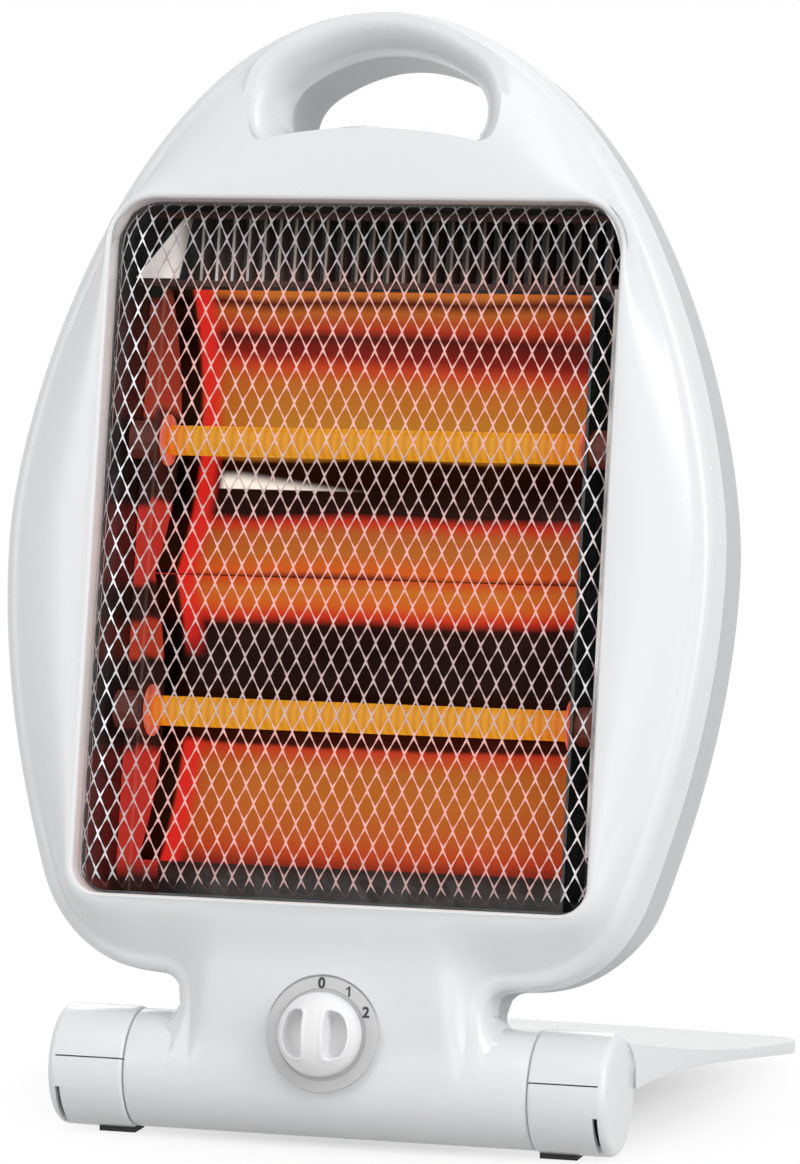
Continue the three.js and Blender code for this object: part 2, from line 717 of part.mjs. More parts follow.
// A curved trough behind one tube, bent from sheet, with a small lip at each long edge.
function reflector(centreZ) {
  const steps = 10;
  const curve = (offset) =>
    Array.from({ length: steps + 1 }, (_, i) => {
      const share = (2 * i) / steps - 1;
      const y = REFLECTOR_BACK - REFLECTOR_DEPTH * share * share;
      return [y + offset, centreZ + share * (REFLECTOR_HALF - GAP)];
    });
  const back = curve(SHEET);
  const front = curve(0).reverse();
  const lip = (points, end) => [points.at(end)[0] - REFLECTOR_LIP, points.at(end)[1]];
  const trough = [
    ...back,
    lip(front, 0),
    [lip(front, 0)[0], lip(front, 0)[1] - SHEET],
    ...front.slice(1, -1),
    [lip(front, -1)[0], lip(front, -1)[1] + SHEET],
    lip(front, -1),
  ];
  return alongX(trough, -END_PLATE_X + GAP, END_PLATE_X - GAP);
}

// The slotted sheet above the upper trough, where warm air leaves the window.
function topBaffle() {
  const low = REFLECTOR_SEAM_Z + 2 * REFLECTOR_HALF + GAP;
  const sheet = block(
    -CASE_INNER_X + GAP,
    CASE_INNER_X - GAP,
    BAFFLE_Y,
    BAFFLE_Y + SHEET,
    low,
    low + BAFFLE_HEIGHT,
  );
  const shelf = block(
    -CASE_INNER_X + GAP,
    CASE_INNER_X - GAP,
    BAFFLE_Y,
    CASE_BACK - SHEET - GAP,
    low,
    low + SHEET,
  );
  const pitch = (2 * END_PLATE_X) / BAFFLE_SLOTS;
  const slots = Array.from({ length: BAFFLE_SLOTS }, (_, i) => {
    const x = (i + 0.5) * pitch - END_PLATE_X;
    const half = BAFFLE_SLOT_WIDTH / 2;
    return block(x - half, x + half, -FAR, BAFFLE_Y + 4, low + 4, low + BAFFLE_HEIGHT - 3);
  });
  return cut(join(sheet, shelf).intersect(insideCase()), ...slots);
}

const quartzTube = (z) =>
  pipe("x", TUBE_R, TUBE_R - TUBE_WALL, -END_PLATE_X - TUBE_PROUD, END_PLATE_X + TUBE_PROUD, TUBE_Y, z, 18);

// A ceramic cap on one end of a tube, outside the bracket, with a terminal pin.
function endCap(side, z) {
  const inner = END_PLATE_X + SHEET + GAP;
  const outer = inner + CAP_LENGTH;
  const sleeve = pipe("x", CAP_R, TUBE_R + 2 * GAP, inner, outer - CAP_BOTTOM, TUBE_Y, z, 14);
  const bottom = rod("x", CAP_R, outer - CAP_BOTTOM, outer, TUBE_Y, z, 14);
  const pin = rod("x", CAP_PIN_R, outer - 1, outer + CAP_PIN_PROUD, TUBE_Y, z, 8);
  return mirrored(side, join(sleeve, bottom, pin));
}

// The wire wound along a tube: one unbroken helix with straight ends that reach the caps.
function heatingCoil(z) {
  const steps = 8;
  const length = 2 * (END_PLATE_X - COIL_MARGIN);
  const pitch = length / COIL_TURNS;
  const centres = [];
  const total = COIL_TURNS * steps;
  for (let i = 0; i <= total; i++) {
    const angle = (2 * Math.PI * i) / steps;
    const x = -length / 2 + (i * pitch) / steps;
    const radius = COIL_R * Math.min(1, i / 4, (total - i) / 4);
    const y = TUBE_Y + radius * Math.cos(angle);
    centres.push(new THREE.Vector3(x, y, z + radius * Math.sin(angle)));
  }
  const reach = END_PLATE_X + SHEET + CAP_LENGTH - CAP_BOTTOM - GAP;
  centres.unshift(new THREE.Vector3(-reach, TUBE_Y, z));
  centres.push(new THREE.Vector3(reach, TUBE_Y, z));
  let least = Infinity;
  for (let i = 0; i < centres.length; i++)
    for (let j = i + steps - 1; j < centres.length; j++)
      least = Math.min(least, centres[i].distanceTo(centres[j]) - 2 * WIRE_R);
  console.log("least gap between curls of a coil: " + least.toFixed(2) + " mm");
  const sides = 5;
  const rings = centres.map((centre, i) => {
    const ahead = centres[Math.min(i + 1, centres.length - 1)];
    const behind = centres[Math.max(i - 1, 0)];
    const along = ahead.clone().sub(behind).normalize();
    const outwards = new THREE.Vector3(0, centre.y - TUBE_Y, centre.z - z);
    if (outwards.length() < 1e-6) outwards.set(0, 1, 0);
    const across = new THREE.Vector3().crossVectors(along, outwards).normalize();
    const normal = new THREE.Vector3().crossVectors(across, along).normalize();
    return Array.from({ length: sides }, (_, k) => {
      const angle = (2 * Math.PI * k) / sides;
      const point = centre.clone();
      point.addScaledVector(normal, WIRE_R * Math.cos(angle));
      point.addScaledVector(across, WIRE_R * Math.sin(angle));
      return point.toArray();
    });
  });
  return sweep(rings);
}

// A skin over rings of few points, each end closed by a fan.
function sweep(rings) {
  const sides = rings[0].length;
  const faces = [];
  for (let r = 0; r < rings.length - 1; r++)
    for (let i = 0; i < sides; i++) {
      const a = r * sides + i;
      const b = r * sides + ((i + 1) % sides);
      faces.push(a, b, b + sides, a, b + sides, a + sides);
    }
  const last = (rings.length - 1) * sides;
  for (let i = 1; i < sides - 1; i++) {
    faces.push(0, i + 1, i);
    faces.push(last, last + i, last + i + 1);
  }
  const geometry = new THREE.BufferGeometry();
  geometry.setAttribute("position", new THREE.Float32BufferAttribute(rings.flat(2), 3));
  geometry.setIndex(faces);
  return solid(geometry);
}

// A snap-disc cut-out clipped to the back of the case.
function thermalCutout() {
  const back = CASE_BACK + GAP;
  const [disc, body] = CUTOUT_R;
  const [discEnd, bodyEnd, tagEnd] = CUTOUT_LENGTH.map((length) => back + length);
  const z = REFLECTOR_SEAM_Z;
  const tags = [-1, 1].map((side) => {
    const x = CUTOUT_X + (side * body) / 2;
    return block(x - SHEET / 2, x + SHEET / 2, bodyEnd - 1, tagEnd, z - 2, z + 2);
  });
  return join(
    rod("y", disc, back, discEnd, CUTOUT_X, z, 20),
    rod("y", body, discEnd, bodyEnd, CUTOUT_X, z, 20),
    ...tags,
  );
}

// ---------------------------------------------------------------- switch, dial and knob

function dialRing() {
  const from = -DIAL_SEAT_DEPTH - GAP - DIAL_THICK;
  return pipe("y", DIAL_R, DIAL_BORE_R, from, from + DIAL_THICK, 0, DIAL_Z, 36);
}

// A domed knob: two finger recesses leave a bar between them.
function knob() {
  const profile = [new THREE.Vector2(0, 0), new THREE.Vector2(KNOB_R, 0)];
  const steps = 5;
  for (let i = 0; i <= steps; i++) {
    const angle = (i * Math.PI) / 2 / steps;
    const y = KNOB_SKIRT + (KNOB_HEIGHT - KNOB_SKIRT) * Math.sin(angle);
    profile.push(new THREE.Vector2(i === steps ? 0 : KNOB_R * Math.cos(angle), y));
  }
  const dome = new THREE.LatheGeometry(profile, 28);
  dome.rotateX(Math.PI);
  const body = solid(dome);
  const recess = (side) => {
    const near = side * GRIP_HALF;
    const far = side * (GRIP_HALF + RECESS_WIDTH);
    const shape = new THREE.Path();
    shape.moveTo(near, -RECESS_HALF_HEIGHT);
    shape.quadraticCurveTo(far, -RECESS_HALF_HEIGHT, far, 0);
    shape.quadraticCurveTo(far, RECESS_HALF_HEIGHT, near, RECESS_HALF_HEIGHT);
    const points = pairs(shape, 5);
    return alongY(side > 0 ? points : points.reverse(), -FAR, -RECESS_FLOOR);
  };
  const bore = rod("y", SHAFT_R + GAP, -KNOB_BORE, 1, 0, 0, 24);
  return cut(body, recess(-1), recess(1), bore);
}

const KNOB_BACK = DIAL_SEAT_DEPTH + DIAL_THICK + 2 * GAP;
const SWITCH_FRONT = -BARREL_R + WALL + BUSH_LENGTH;
const SHAFT_END = SWITCH_FRONT + 2;

// The shaft turns in the switch's bush and fills the knob's bore.
const switchShaft = () =>
  rod("y", SHAFT_R, -KNOB_BACK - KNOB_BORE + GAP, SHAFT_END, 0, DIAL_Z, 24);

function rotarySwitch() {
  const [width, depth, height] = SWITCH_SIZE;
  const z = DIAL_Z - height / 2;
  const body = block(-width / 2, width / 2, SWITCH_FRONT, SWITCH_FRONT + depth, z, z + height);
  const bush = rod("y", SHAFT_R + BUSH_WALL, SWITCH_FRONT - 1.2, SWITCH_FRONT + 1, 0, DIAL_Z, 24);
  const back = SWITCH_FRONT + depth;
  const tags = [-1, 0, 1].map((i) => {
    const x = (i * width) / 3;
    return block(x - 2, x + 2, back - 1, back + TAG_LENGTH, DIAL_Z - SHEET / 2, DIAL_Z + SHEET / 2);
  });
  const bore = rod("y", SHAFT_R + GAP, -FAR, SHAFT_END + GAP, 0, DIAL_Z, 24);
  return cut(join(body, bush, ...tags), bore);
}

// ---------------------------------------------------------------- tip-over switch and fittings

const [TIP_WIDTH, TIP_DEPTH, TIP_HEIGHT] = TIP_SIZE;
const TIP_LOW = TIP_TOP_Z - TIP_HEIGHT;

// A box open at the top; a pin across it carries the pendulum.
function tipSwitchBox() {
  const x0 = TIP_X - TIP_WIDTH / 2;
  const x1 = TIP_X + TIP_WIDTH / 2;
  const y = TIP_DEPTH / 2;
  const box = block(x0, x1, -y, y, TIP_LOW, TIP_TOP_Z);
  const room = block(
    x0 + TIP_WALL,
    x1 - TIP_WALL,
    -y + TIP_WALL,
    y - TIP_WALL,
    TIP_LOW + TIP_WALL,
    TIP_TOP_Z + 1,
  );
  return cut(box, room, rod("x", PENDULUM_PIN_R + GAP, x0 - 1, x1 + 1, 0, TIP_PIVOT_Z, 16));
}

const pendulumPin = () =>
  rod("x", PENDULUM_PIN_R, TIP_X - TIP_WIDTH / 2, TIP_X + TIP_WIDTH / 2, 0, TIP_PIVOT_Z, 16);

// A brass weight on a short arm, drawn hanging straight down from the origin.
function pendulum() {
  const half = PENDULUM_WIDTH / 2;
  const eye = rod("x", PENDULUM_BORE_R + PENDULUM_EYE_WALL, -half, half, 0, 0, 20);
  const arm = block(-1.2, 1.2, -1, 1, -PENDULUM_LENGTH, -PENDULUM_BORE_R);
  const weight = rod("x", PENDULUM_R, -half, half, 0, -PENDULUM_LENGTH, 20);
  const bore = rod("x", PENDULUM_BORE_R, -half - 1, half + 1, 0, 0, 16);
  return cut(join(eye, arm, weight), bore);
}

// The bush that would hold the supply cord, with its flange outside the rear shell.
const cordGland = () =>
  join(
    pipe("y", GLAND_R, GLAND_BORE_R, GLAND_SEAT - GLAND_LENGTH, GLAND_SEAT + 1, 0, GLAND_Z, 16),
    pipe("y", GLAND_FLANGE_R, GLAND_BORE_R, GLAND_SEAT, GLAND_SEAT + GLAND_PROUD, 0, GLAND_Z, 16),
  );

function terminalBlock() {
  const [width, depth, height] = TERMINAL_SIZE;
  const back = REAR_DEPTH - WALL - GAP;
  const front = back - depth;
  const top = TERMINAL_Z + height;
  const body = block(TERMINAL_X - width / 2, TERMINAL_X + width / 2, front, back, TERMINAL_Z, top);
  const pitch = width / 3;
  const grooves = [-0.5, 0.5].map((i) => {
    const x = TERMINAL_X + i * pitch;
    const half = TERMINAL_GROOVE / 2;
    return block(x - half, x + half, front - 1, back - TERMINAL_BASE, TERMINAL_Z - 1, top + 1);
  });
  const holes = [-1, 0, 1].map((i) =>
    rod("z", TERMINAL_BORE_R, TERMINAL_Z - 1, top + 1, TERMINAL_X + i * pitch, back - depth / 2 - 1, 12),
  );
  return cut(body, ...grooves, ...holes);
}

// ---------------------------------------------------------------- hinge

const DRUM_INNER = BARREL_HALF + GAP;
const DRUM_OUTER = DRUM_INNER + DRUM_LENGTH;
const WASHER_X = DRUM_INNER + WALL + GAP;
const SPRING_X = WASHER_X + WASHER_THICK + GAP;
const NUT_X = SPRING_X + SPRING_THICK + GAP;

// A flanged steel sleeve: the flange is trapped inside the barrel's end wall.
const journal = (side) => {
  const inner = BARREL_HALF - WALL - GAP - JOURNAL_FLANGE;
  const bore = JOURNAL_R - JOURNAL_WALL;
  return mirrored(
    side,
    join(
      pipe("x", JOURNAL_R, bore, inner - 1, NUT_X + NUT_THICK + 1),
      pipe("x", JOURNAL_FLANGE_R, bore, inner, inner + JOURNAL_FLANGE),
    ),
  );
};

const frictionWasher = (side) =>
  mirrored(side, pipe("x", WASHER_R, JOURNAL_R + GAP, WASHER_X, WASHER_X + WASHER_THICK));

const springWasher = (side) =>
  mirrored(side, pipe("x", WASHER_R - 1, JOURNAL_R + GAP, SPRING_X, SPRING_X + SPRING_THICK));

const hingeNut = (side) =>
  mirrored(
    side,
    cut(
      rod("x", WASHER_R, NUT_X, NUT_X + NUT_THICK, 0, 0, 6),
      rod("x", JOURNAL_R + GAP, NUT_X - 1, NUT_X + NUT_THICK + 1),
    ),
  );

// ---------------------------------------------------------------- stand

// Everything above, or below, the plane that parts each drum and falls towards the rear.
function splitSide(upper) {
  const offset = GAP / 2;
  const half = upper ? [offset, FAR] : [-FAR, -offset];
  const geometry = new THREE.BoxGeometry(4 * HEAD_HALF_WIDTH, 2 * FAR, half[1] - half[0]);
  geometry.translate(0, 0, (half[0] + half[1]) / 2);
  geometry.rotateX(-DRUM_SPLIT);
  return solid(geometry);
}

// Height of the deck's top and of the skirt's lower edge along the stand.
function deckCurve(lowered) {
  const curve = new THREE.QuadraticBezierCurve(
    new THREE.Vector2(DECK_START[0], DECK_START[1]),
    new THREE.Vector2(DECK_BEND[0], DECK_BEND[1]),
    new THREE.Vector2(ARM_TIP_Y, DECK_TIP_Z),
  );
  const points = curve.getPoints(4).map((p) => [p.x, p.y - lowered]);
  const [lastY, lastZ] = points.at(-1);
  const slope = (DECK_TIP_Z - DECK_BEND[1]) / (ARM_TIP_Y - DECK_BEND[0]);
  points.push([BEYOND_REAR_Y, lastZ + slope * (BEYOND_REAR_Y - lastY)]);
  return points;
}

function skirtCurve() {
  const curve = new THREE.CubicBezierCurve(
    new THREE.Vector2(DECK_START[0], SKIRT_START_Z),
    ...SKIRT_HANDLES.map(([y, z]) => new THREE.Vector2(y, z)),
    new THREE.Vector2(ARM_TIP_Y, -DRUM_R),
  );
  return [...curve.getPoints(4).map((p) => [p.x, p.y]), [BEYOND_REAR_Y, -DRUM_R]];
}

// The stand from above: two arms that flare out, a bowed rear edge, a notch for the head.
function standPlan(margin) {
  const [startY] = DECK_START;
  const half = (y) => DRUM_OUTER + (ARM_FLARE * (y - startY)) / (ARM_TIP_Y - startY);
  const notch = DRUM_INNER + margin;
  const side = new THREE.Path();
  side.moveTo(notch, startY + margin / 2);
  side.lineTo(DRUM_OUTER - margin, startY + margin / 2);
  side.lineTo(half(ARM_TIP_Y - PLATE_CORNER) - margin, ARM_TIP_Y - PLATE_CORNER);
  side.quadraticCurveTo(
    half(ARM_TIP_Y) - margin,
    ARM_TIP_Y + PLATE_CORNER / 2 - margin,
    half(ARM_TIP_Y) - PLATE_CORNER - margin,
    ARM_TIP_Y + PLATE_CORNER * 0.6 - margin,
  );
  side.quadraticCurveTo(NECK_HALF_WIDTH, PLATE_REAR_Y - margin, 0, PLATE_REAR_Y - margin);
  const right = pairs(side, 3);
  const left = right
    .slice(0, -1)
    .reverse()
    .map(([x, y]) => [-x, y]);
  return [
    ...right,
    ...left,
    [-notch, PLATE_FRONT_Y + margin - PLATE_CORNER],
    [-notch + PLATE_CORNER, PLATE_FRONT_Y + margin],
    [notch - PLATE_CORNER, PLATE_FRONT_Y + margin],
    [notch, PLATE_FRONT_Y + margin - PLATE_CORNER],
  ];
}

const COVER_OUTER = DRUM_OUTER - WALL - GAP;
const drumPipe = (from, to) => pipe("x", DRUM_R, DRUM_R - WALL, from, to, 0, 0, BARREL_SIDES);
const drumInnerWall = () =>
  pipe("x", DRUM_R - 1, JOURNAL_R + GAP, DRUM_INNER, DRUM_INNER + WALL, 0, 0, BARREL_SIDES);

function standFrame() {
  const plan = standPlan(0);
  const room = standPlan(ARM_WALL);
  const top = deckCurve(0);
  const skirt = skirtCurve().reverse();
  const wide = 2 * HEAD_HALF_WIDTH;
  const full = alongX([...top, ...skirt], -wide, wide).intersect(alongZ(plan, -FAR, FAR));
  const under = [...deckCurve(PLATE_THICK), [BEYOND_REAR_Y, -FAR], [0, -FAR]];
  const hollow = alongX(under, -wide, wide).intersect(alongZ(room, -FAR - 1, FAR));
  const upper = splitSide(true);
  const drum = join(drumPipe(DRUM_INNER, DRUM_OUTER), drumInnerWall()).intersect(upper);
  const end = rod("x", DRUM_R, DRUM_OUTER - WALL, DRUM_OUTER, 0, 0, BARREL_SIDES);
  const post = rod("z", COVER_POST_R, GAP / 2, DRUM_R - 1, COVER_POST_X, 0, 16).intersect(upper);
  const inside = rod("x", DRUM_R - WALL, DRUM_INNER - 1, DRUM_OUTER - WALL, 0, 0, BARREL_SIDES);
  const bosses = [-1, 1].map((side) =>
    rod("z", FOOT_BOSS_R, -DRUM_R, FOOT_BOSS_TOP_Z, side * REAR_FOOT_X, REAR_FOOT_Y, 16),
  );
  const pockets = [-1, 1].map((side) =>
    rod("z", REAR_FOOT_R + GAP, -FAR, -DRUM_R + FOOT_SINK + GAP, side * REAR_FOOT_X, REAR_FOOT_Y, 16),
  );
  const deck = cut(full, hollow, ...bothSides(inside));
  return cut(
    join(deck, ...bothSides(drum), ...bothSides(end), ...bothSides(post), ...bosses),
    ...pockets,
    ...bothSides(rod("x", JOURNAL_R + GAP, DRUM_INNER - 1, DRUM_INNER + WALL + 1)),
  );
}

// The lower part of a drum, with a pocket for its foot and a slit to lever it off by.
function drumCover(side) {
  const lower = splitSide(false);
  const shell = join(drumPipe(DRUM_INNER, COVER_OUTER), drumInnerWall()).intersect(lower);
  const post = rod("z", COVER_POST_R, -DRUM_R + 1, -GAP / 2, COVER_POST_X, 0, 16).intersect(lower);
  const sink = rod("z", SCREW_HEAD_R + GAP, -FAR, -DRUM_R + SCREW_SINK, COVER_POST_X, 0, 16);
  const [width, depth] = FRONT_FOOT;
  const pocket = block(
    FRONT_FOOT_X - width / 2 - GAP,
    FRONT_FOOT_X + width / 2 + GAP,
    -depth / 2 - GAP,
    depth / 2 + GAP,
    -FAR,
    -DRUM_R + FOOT_SINK + GAP,
  );
  const [slitLow, slitHigh] = SLIT_Z;
  const slit = block(COVER_OUTER - SLIT_WIDTH, COVER_OUTER + 1, -FAR, -SLIT_START, slitLow, slitHigh);
  return mirrored(side, cut(join(shell, post), sink, pocket, slit));
}

function frontFoot(side) {
  const [width, depth] = FRONT_FOOT;
  const x = side * FRONT_FOOT_X;
  return block(x - width / 2, x + width / 2, -depth / 2, depth / 2, FLOOR_Z, -DRUM_R + FOOT_SINK);
}

const rearFoot = (side) =>
  rod("z", REAR_FOOT_R, FLOOR_Z, -DRUM_R + FOOT_SINK, side * REAR_FOOT_X, REAR_FOOT_Y, 16);

// ---------------------------------------------------------------- assembly

const finishes = {
  shell: { color: 0xe8e9eb, roughness: 0.3, metalness: 0 },
  grey: { color: 0xc6c8ca, roughness: 0.4, metalness: 0 },
  dark: { color: 0x2b2c2e, roughness: 0.6, metalness: 0 },
  rubber: { color: 0x17171a, roughness: 0.9, metalness: 0 },
  galvanised: { color: 0x8d9093, roughness: 0.45, metalness: 0.9 },
  polished: { color: 0xd9dadb, roughness: 0.12, metalness: 1 },
  wire: { color: 0xc9cbcd, roughness: 0.3, metalness: 1 },
  steel: { color: 0xa8aaad, roughness: 0.35, metalness: 1 },
  brass: { color: 0xb8964a, roughness: 0.35, metalness: 1 },
  ceramic: { color: 0xe9e2d4, roughness: 0.7, metalness: 0 },
  quartz: { color: 0xffa040, roughness: 0.15, metalness: 0, emissive: 0xff6a10 },
  coil: { color: 0xff8a30, roughness: 0.6, metalness: 0.4, emissive: 0xff5a08 },
};

function piece(name, finish, body) {
  const mesh = new THREE.Mesh(
    geometryOf(body),
    new THREE.MeshStandardMaterial({ name: finish, ...finishes[finish] }),
  );
  mesh.name = name;
  return mesh;
}

const sides = [
  ["left", -1],
  ["right", 1],
];

function makeKnob() {
  const turning = new THREE.Group();
  const cap = piece("knob", "shell", knob());
  cap.position.set(0, -KNOB_BACK, DIAL_Z);
  turning.add(cap, piece("switch_shaft", "steel", switchShaft()));
  return turning;
}

// The pendulum hangs plumb while the head leans back.
function makePendulum() {
  const hanging = piece("tip_pendulum", "brass", pendulum());
  hanging.position.set(TIP_X, 0, TIP_PIVOT_Z);
  hanging.rotation.x = LEAN;
  return hanging;
}

function makeHead() {
  const head = new THREE.Group();
  head.add(
    piece("front_shell", "shell", frontShell()),
    piece("rear_shell", "grey", rearShell()),
    piece("guard_mesh", "wire", guardMesh()),
    piece("heater_case", "galvanised", heaterCase()),
    piece("top_baffle", "galvanised", topBaffle()),
    piece("thermal_cutout", "steel", thermalCutout()),
    piece("terminal_block", "ceramic", terminalBlock()),
    piece("cord_gland", "dark", cordGland()),
    piece("dial_ring", "grey", dialRing()),
    piece("rotary_switch", "dark", rotarySwitch()),
    piece("tip_switch_box", "dark", tipSwitchBox()),
    piece("pendulum_pin", "steel", pendulumPin()),
    makeKnob(),
    makePendulum(),
  );
  TUBE_Z.forEach((z, i) => {
    const level = TUBE_NAMES[i];
    const seamSide = i === 0 ? 1 : -1;
    head.add(
      piece(level + "_reflector", "polished", reflector(REFLECTOR_SEAM_Z + seamSide * REFLECTOR_HALF)),
      piece(level + "_quartz_tube", "quartz", quartzTube(z)),
      piece(level + "_heating_coil", "coil", heatingCoil(z)),
    );
    for (const [hand, side] of sides)
      head.add(piece(`${level}_${hand}_end_cap`, "ceramic", endCap(side, z)));
  });
  for (const [hand, side] of sides)
    head.add(
      piece(`${hand}_end_plate`, "galvanised", endPlate(side)),
      piece(`${hand}_journal`, "steel", journal(side)),
      piece(`${hand}_spring_washer`, "steel", springWasher(side)),
      piece(`${hand}_hinge_nut`, "steel", hingeNut(side)),
    );
  head.rotation.x = -LEAN;
  return head;
}

function makeStand() {
  const stand = new THREE.Group();
  stand.add(piece("stand_frame", "shell", standFrame()));
  for (const [hand, side] of sides)
    stand.add(
      piece(`${hand}_drum_cover`, "grey", drumCover(side)),
      piece(`${hand}_friction_washer`, "dark", frictionWasher(side)),
      piece(`${hand}_front_foot`, "rubber", frontFoot(side)),
      piece(`${hand}_rear_foot`, "rubber", rearFoot(side)),
    );
  return stand;
}

const heater = new THREE.Group();
heater.add(makeStand(), makeHead());
heater.updateMatrixWorld(true);
const reach = new THREE.Box3().setFromObject(heater, true);
const middle = reach.getCenter(new THREE.Vector3());
heater.position.set(-middle.x, -middle.y, -reach.min.z);

export default heater;
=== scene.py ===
"""The looks of a two-tube radiant heater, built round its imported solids."""

import math

import bmesh
import bpy
import numpy as np
from mathutils import Matrix, Vector


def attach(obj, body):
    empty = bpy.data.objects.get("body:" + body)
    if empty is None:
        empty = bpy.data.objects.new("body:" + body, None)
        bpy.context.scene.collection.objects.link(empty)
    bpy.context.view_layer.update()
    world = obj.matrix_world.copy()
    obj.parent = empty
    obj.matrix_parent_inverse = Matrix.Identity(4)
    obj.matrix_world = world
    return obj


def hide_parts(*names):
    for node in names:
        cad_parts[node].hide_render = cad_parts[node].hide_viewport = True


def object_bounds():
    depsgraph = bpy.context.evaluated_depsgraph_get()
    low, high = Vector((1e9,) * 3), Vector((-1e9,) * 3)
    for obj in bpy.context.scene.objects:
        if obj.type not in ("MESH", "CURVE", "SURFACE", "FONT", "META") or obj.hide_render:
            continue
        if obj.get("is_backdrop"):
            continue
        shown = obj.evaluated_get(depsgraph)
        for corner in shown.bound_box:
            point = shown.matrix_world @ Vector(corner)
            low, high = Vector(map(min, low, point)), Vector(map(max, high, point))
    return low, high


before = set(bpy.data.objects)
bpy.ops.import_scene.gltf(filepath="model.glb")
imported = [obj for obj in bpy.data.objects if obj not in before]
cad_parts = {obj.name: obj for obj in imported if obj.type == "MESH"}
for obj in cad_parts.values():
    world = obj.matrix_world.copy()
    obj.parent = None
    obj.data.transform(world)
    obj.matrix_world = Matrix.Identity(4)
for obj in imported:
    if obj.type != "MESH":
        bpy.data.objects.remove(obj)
cad_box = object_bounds()

# Sizes are millimetres in the head's or the stand's own axes, with the origin on the hinge.
LEAN = math.radians(11.25)
HINGE = Vector((0, -84.6330219, 20.5))
STAND = Matrix.Scale(0.001, 4) @ Matrix.Translation(HINGE)
HEAD = STAND @ Matrix.Rotation(-LEAN, 4, "X")

SEAM = 0.15  # half the gap between the two shells
WALL = 2.2
DRAFT = 0.25  # how far a shell's straight side leans in
BARREL_R = 18.7
BARREL_HALF = 65.8
BARREL_ROOM_R = 16.3
NECK_HALF = 60
NECK_FOOT_R = 6.0
DRUM_R = 19.3
DRUM_INNER = 66.1
DRUM_OUTER = 91.1
DRUM_EDGE = 2.6
COVER_OUTER = 88.6
JOURNAL_R = 11.8
DRUM_SPLIT = math.radians(18)

WINDOW_HALF = 83.5
WINDOW_LOW = 54
WINDOW_HIGH = 275
WINDOW_R = (9, 14)
WINDOW_MIDDLE = (WINDOW_LOW + WINDOW_HIGH) / 2
FRONT_DEPTH = 28
EDGE_DEPTH = 20
EDGE_ROUND = 5
LIP_ROUND = 1.4
FLANGE_BACK = -15
REAR_DEPTH = 32
REAR_STRAIGHT = 20
REAR_ROUND = 11

LOUVRE_FIELDS = ((200, 7), (84, 5))  # lowest slot and number of slots
LOUVRE_PITCH = 10
LOUVRE_HEIGHT = 3.6
LOUVRE_SPANS = ((-58, -5), (5, 58))
SCREW_PLACES = [(s * x, z) for s in (-1, 1) for x, z in ((102, 172), (58, 288), (68, 41.5))]
GLAND_Z = 40
GLAND_R = 4.9

NET_SIZES = {"Cell width": 5.66, "Cell height": 11.5, "Columns": 36, "Rows": 23}
NET_Y = -25.2
SELVAGE = (81.9, 83.0, -24.9, -24.5, 72, 248)  # the net's folded right edge
NET_BEND = 0.95  # how far round its edge the net is kept, in radians
FIN_SIZES = {"Slats": 27, "Pitch": 5.2}
FIN_START = (-60.5, 0, 262.4)
STRIP_HALF = 82
STRIP_HEIGHTS = ((250.4, 252.4), (272.4, 274.4))

TUBE_Z = (200.8, 113.7)
TUBE_R = 4.8
TUBE_BORE_R = 3.7
TUBE_HALF = 74.2
TROUGH_Z = (203.5, 111.5)
TROUGH_BACK = 14
TROUGH_DEPTH = 17
TROUGH_RISE = 45.8
TROUGH_SHEET = 0.9
TROUGH_HALF = 70.2
TROUGH_GLOW_HALF = 46  # the glow's bands end this far above and below the middle
COIL_TURNS = 46
COIL_R = 2.4
COIL_HALF = 64
COIL_WIRE_R = 0.42

DIAL_Z = 13.4
DIAL_R = 18.1
DIAL_SEAT_R = 17.6
DIAL_RECESS_R = 18.7
DIAL_BACK = -20.4
DIAL_FRONT = -22
NUMERAL_R = 15.9
NUMERAL_HEIGHT = 4.6
PRINT_HALF = 0.05
KNOB_BACK = -22.6
KNOB_R = 13.3
KNOB_TOP_R = 12.9
KNOB_FLOOR = 3.0
KNOB_SIDES = 200
KNOB_RINGS = 80

DECK_SHEET = 3.0
DECK_FRONT_Y = 6
DECK_CORNER_Y = 183
DECK_REAR_Y = 205
DECK_FLARE = 18  # how much wider each side is at its corner
FOOT_X = 72.5
REAR_BOSS = (88, 178)

# The glow's places across the window and along the troughs run between these ends.
WINDOW_SPAN = (-84, 84)
TROUGH_SPAN = (-71, 71)

# The camera's eye and aim are measured from the hinge.
EYE = Vector((481.5, -1567.3, 324.8))
AIM = Vector((0, 0, 150))
LENS = 163.66
SHIFT = (0.0522, 0.0192)

WORLD_LIGHT = 0.5
# Each lamp's place and the height it aims at, its width (all in metres) and its power.
LAMPS = {
    "key": ((2.6, -1.5, 1.9), 0.17, 1.7, 34),
    "fill": ((-2.2, -2.6, 1.3), 0.17, 1.8, 21),
    "top": ((0.1, -1.3, 2.3), 0.1, 1.2, 9),
    "low": ((0.9, -2.6, 0.35), 0.05, 1.2, 7),
    "side": ((2.4, -1.1, 0.45), 0.1, 1.2, 12),
    "over": ((0.1, 0.6, 2.6), 0.1, 1.6, 4),
    "back": ((-0.8, 2.6, 1.6), 0.17, 1.6, 22),
}


# ------------------------------------------------------------------ mesh tools


def new_object(name, data):
    """Puts a mesh, a curve, a lamp or a camera into the scene."""
    made = bpy.data.objects.new(name, data)
    bpy.context.scene.collection.objects.link(made)
    return made


def solid_piece(name, points, faces):
    mesh = bpy.data.meshes.new(name)
    mesh.from_pydata([tuple(p) for p in points], [], faces)
    return new_object(name, mesh)


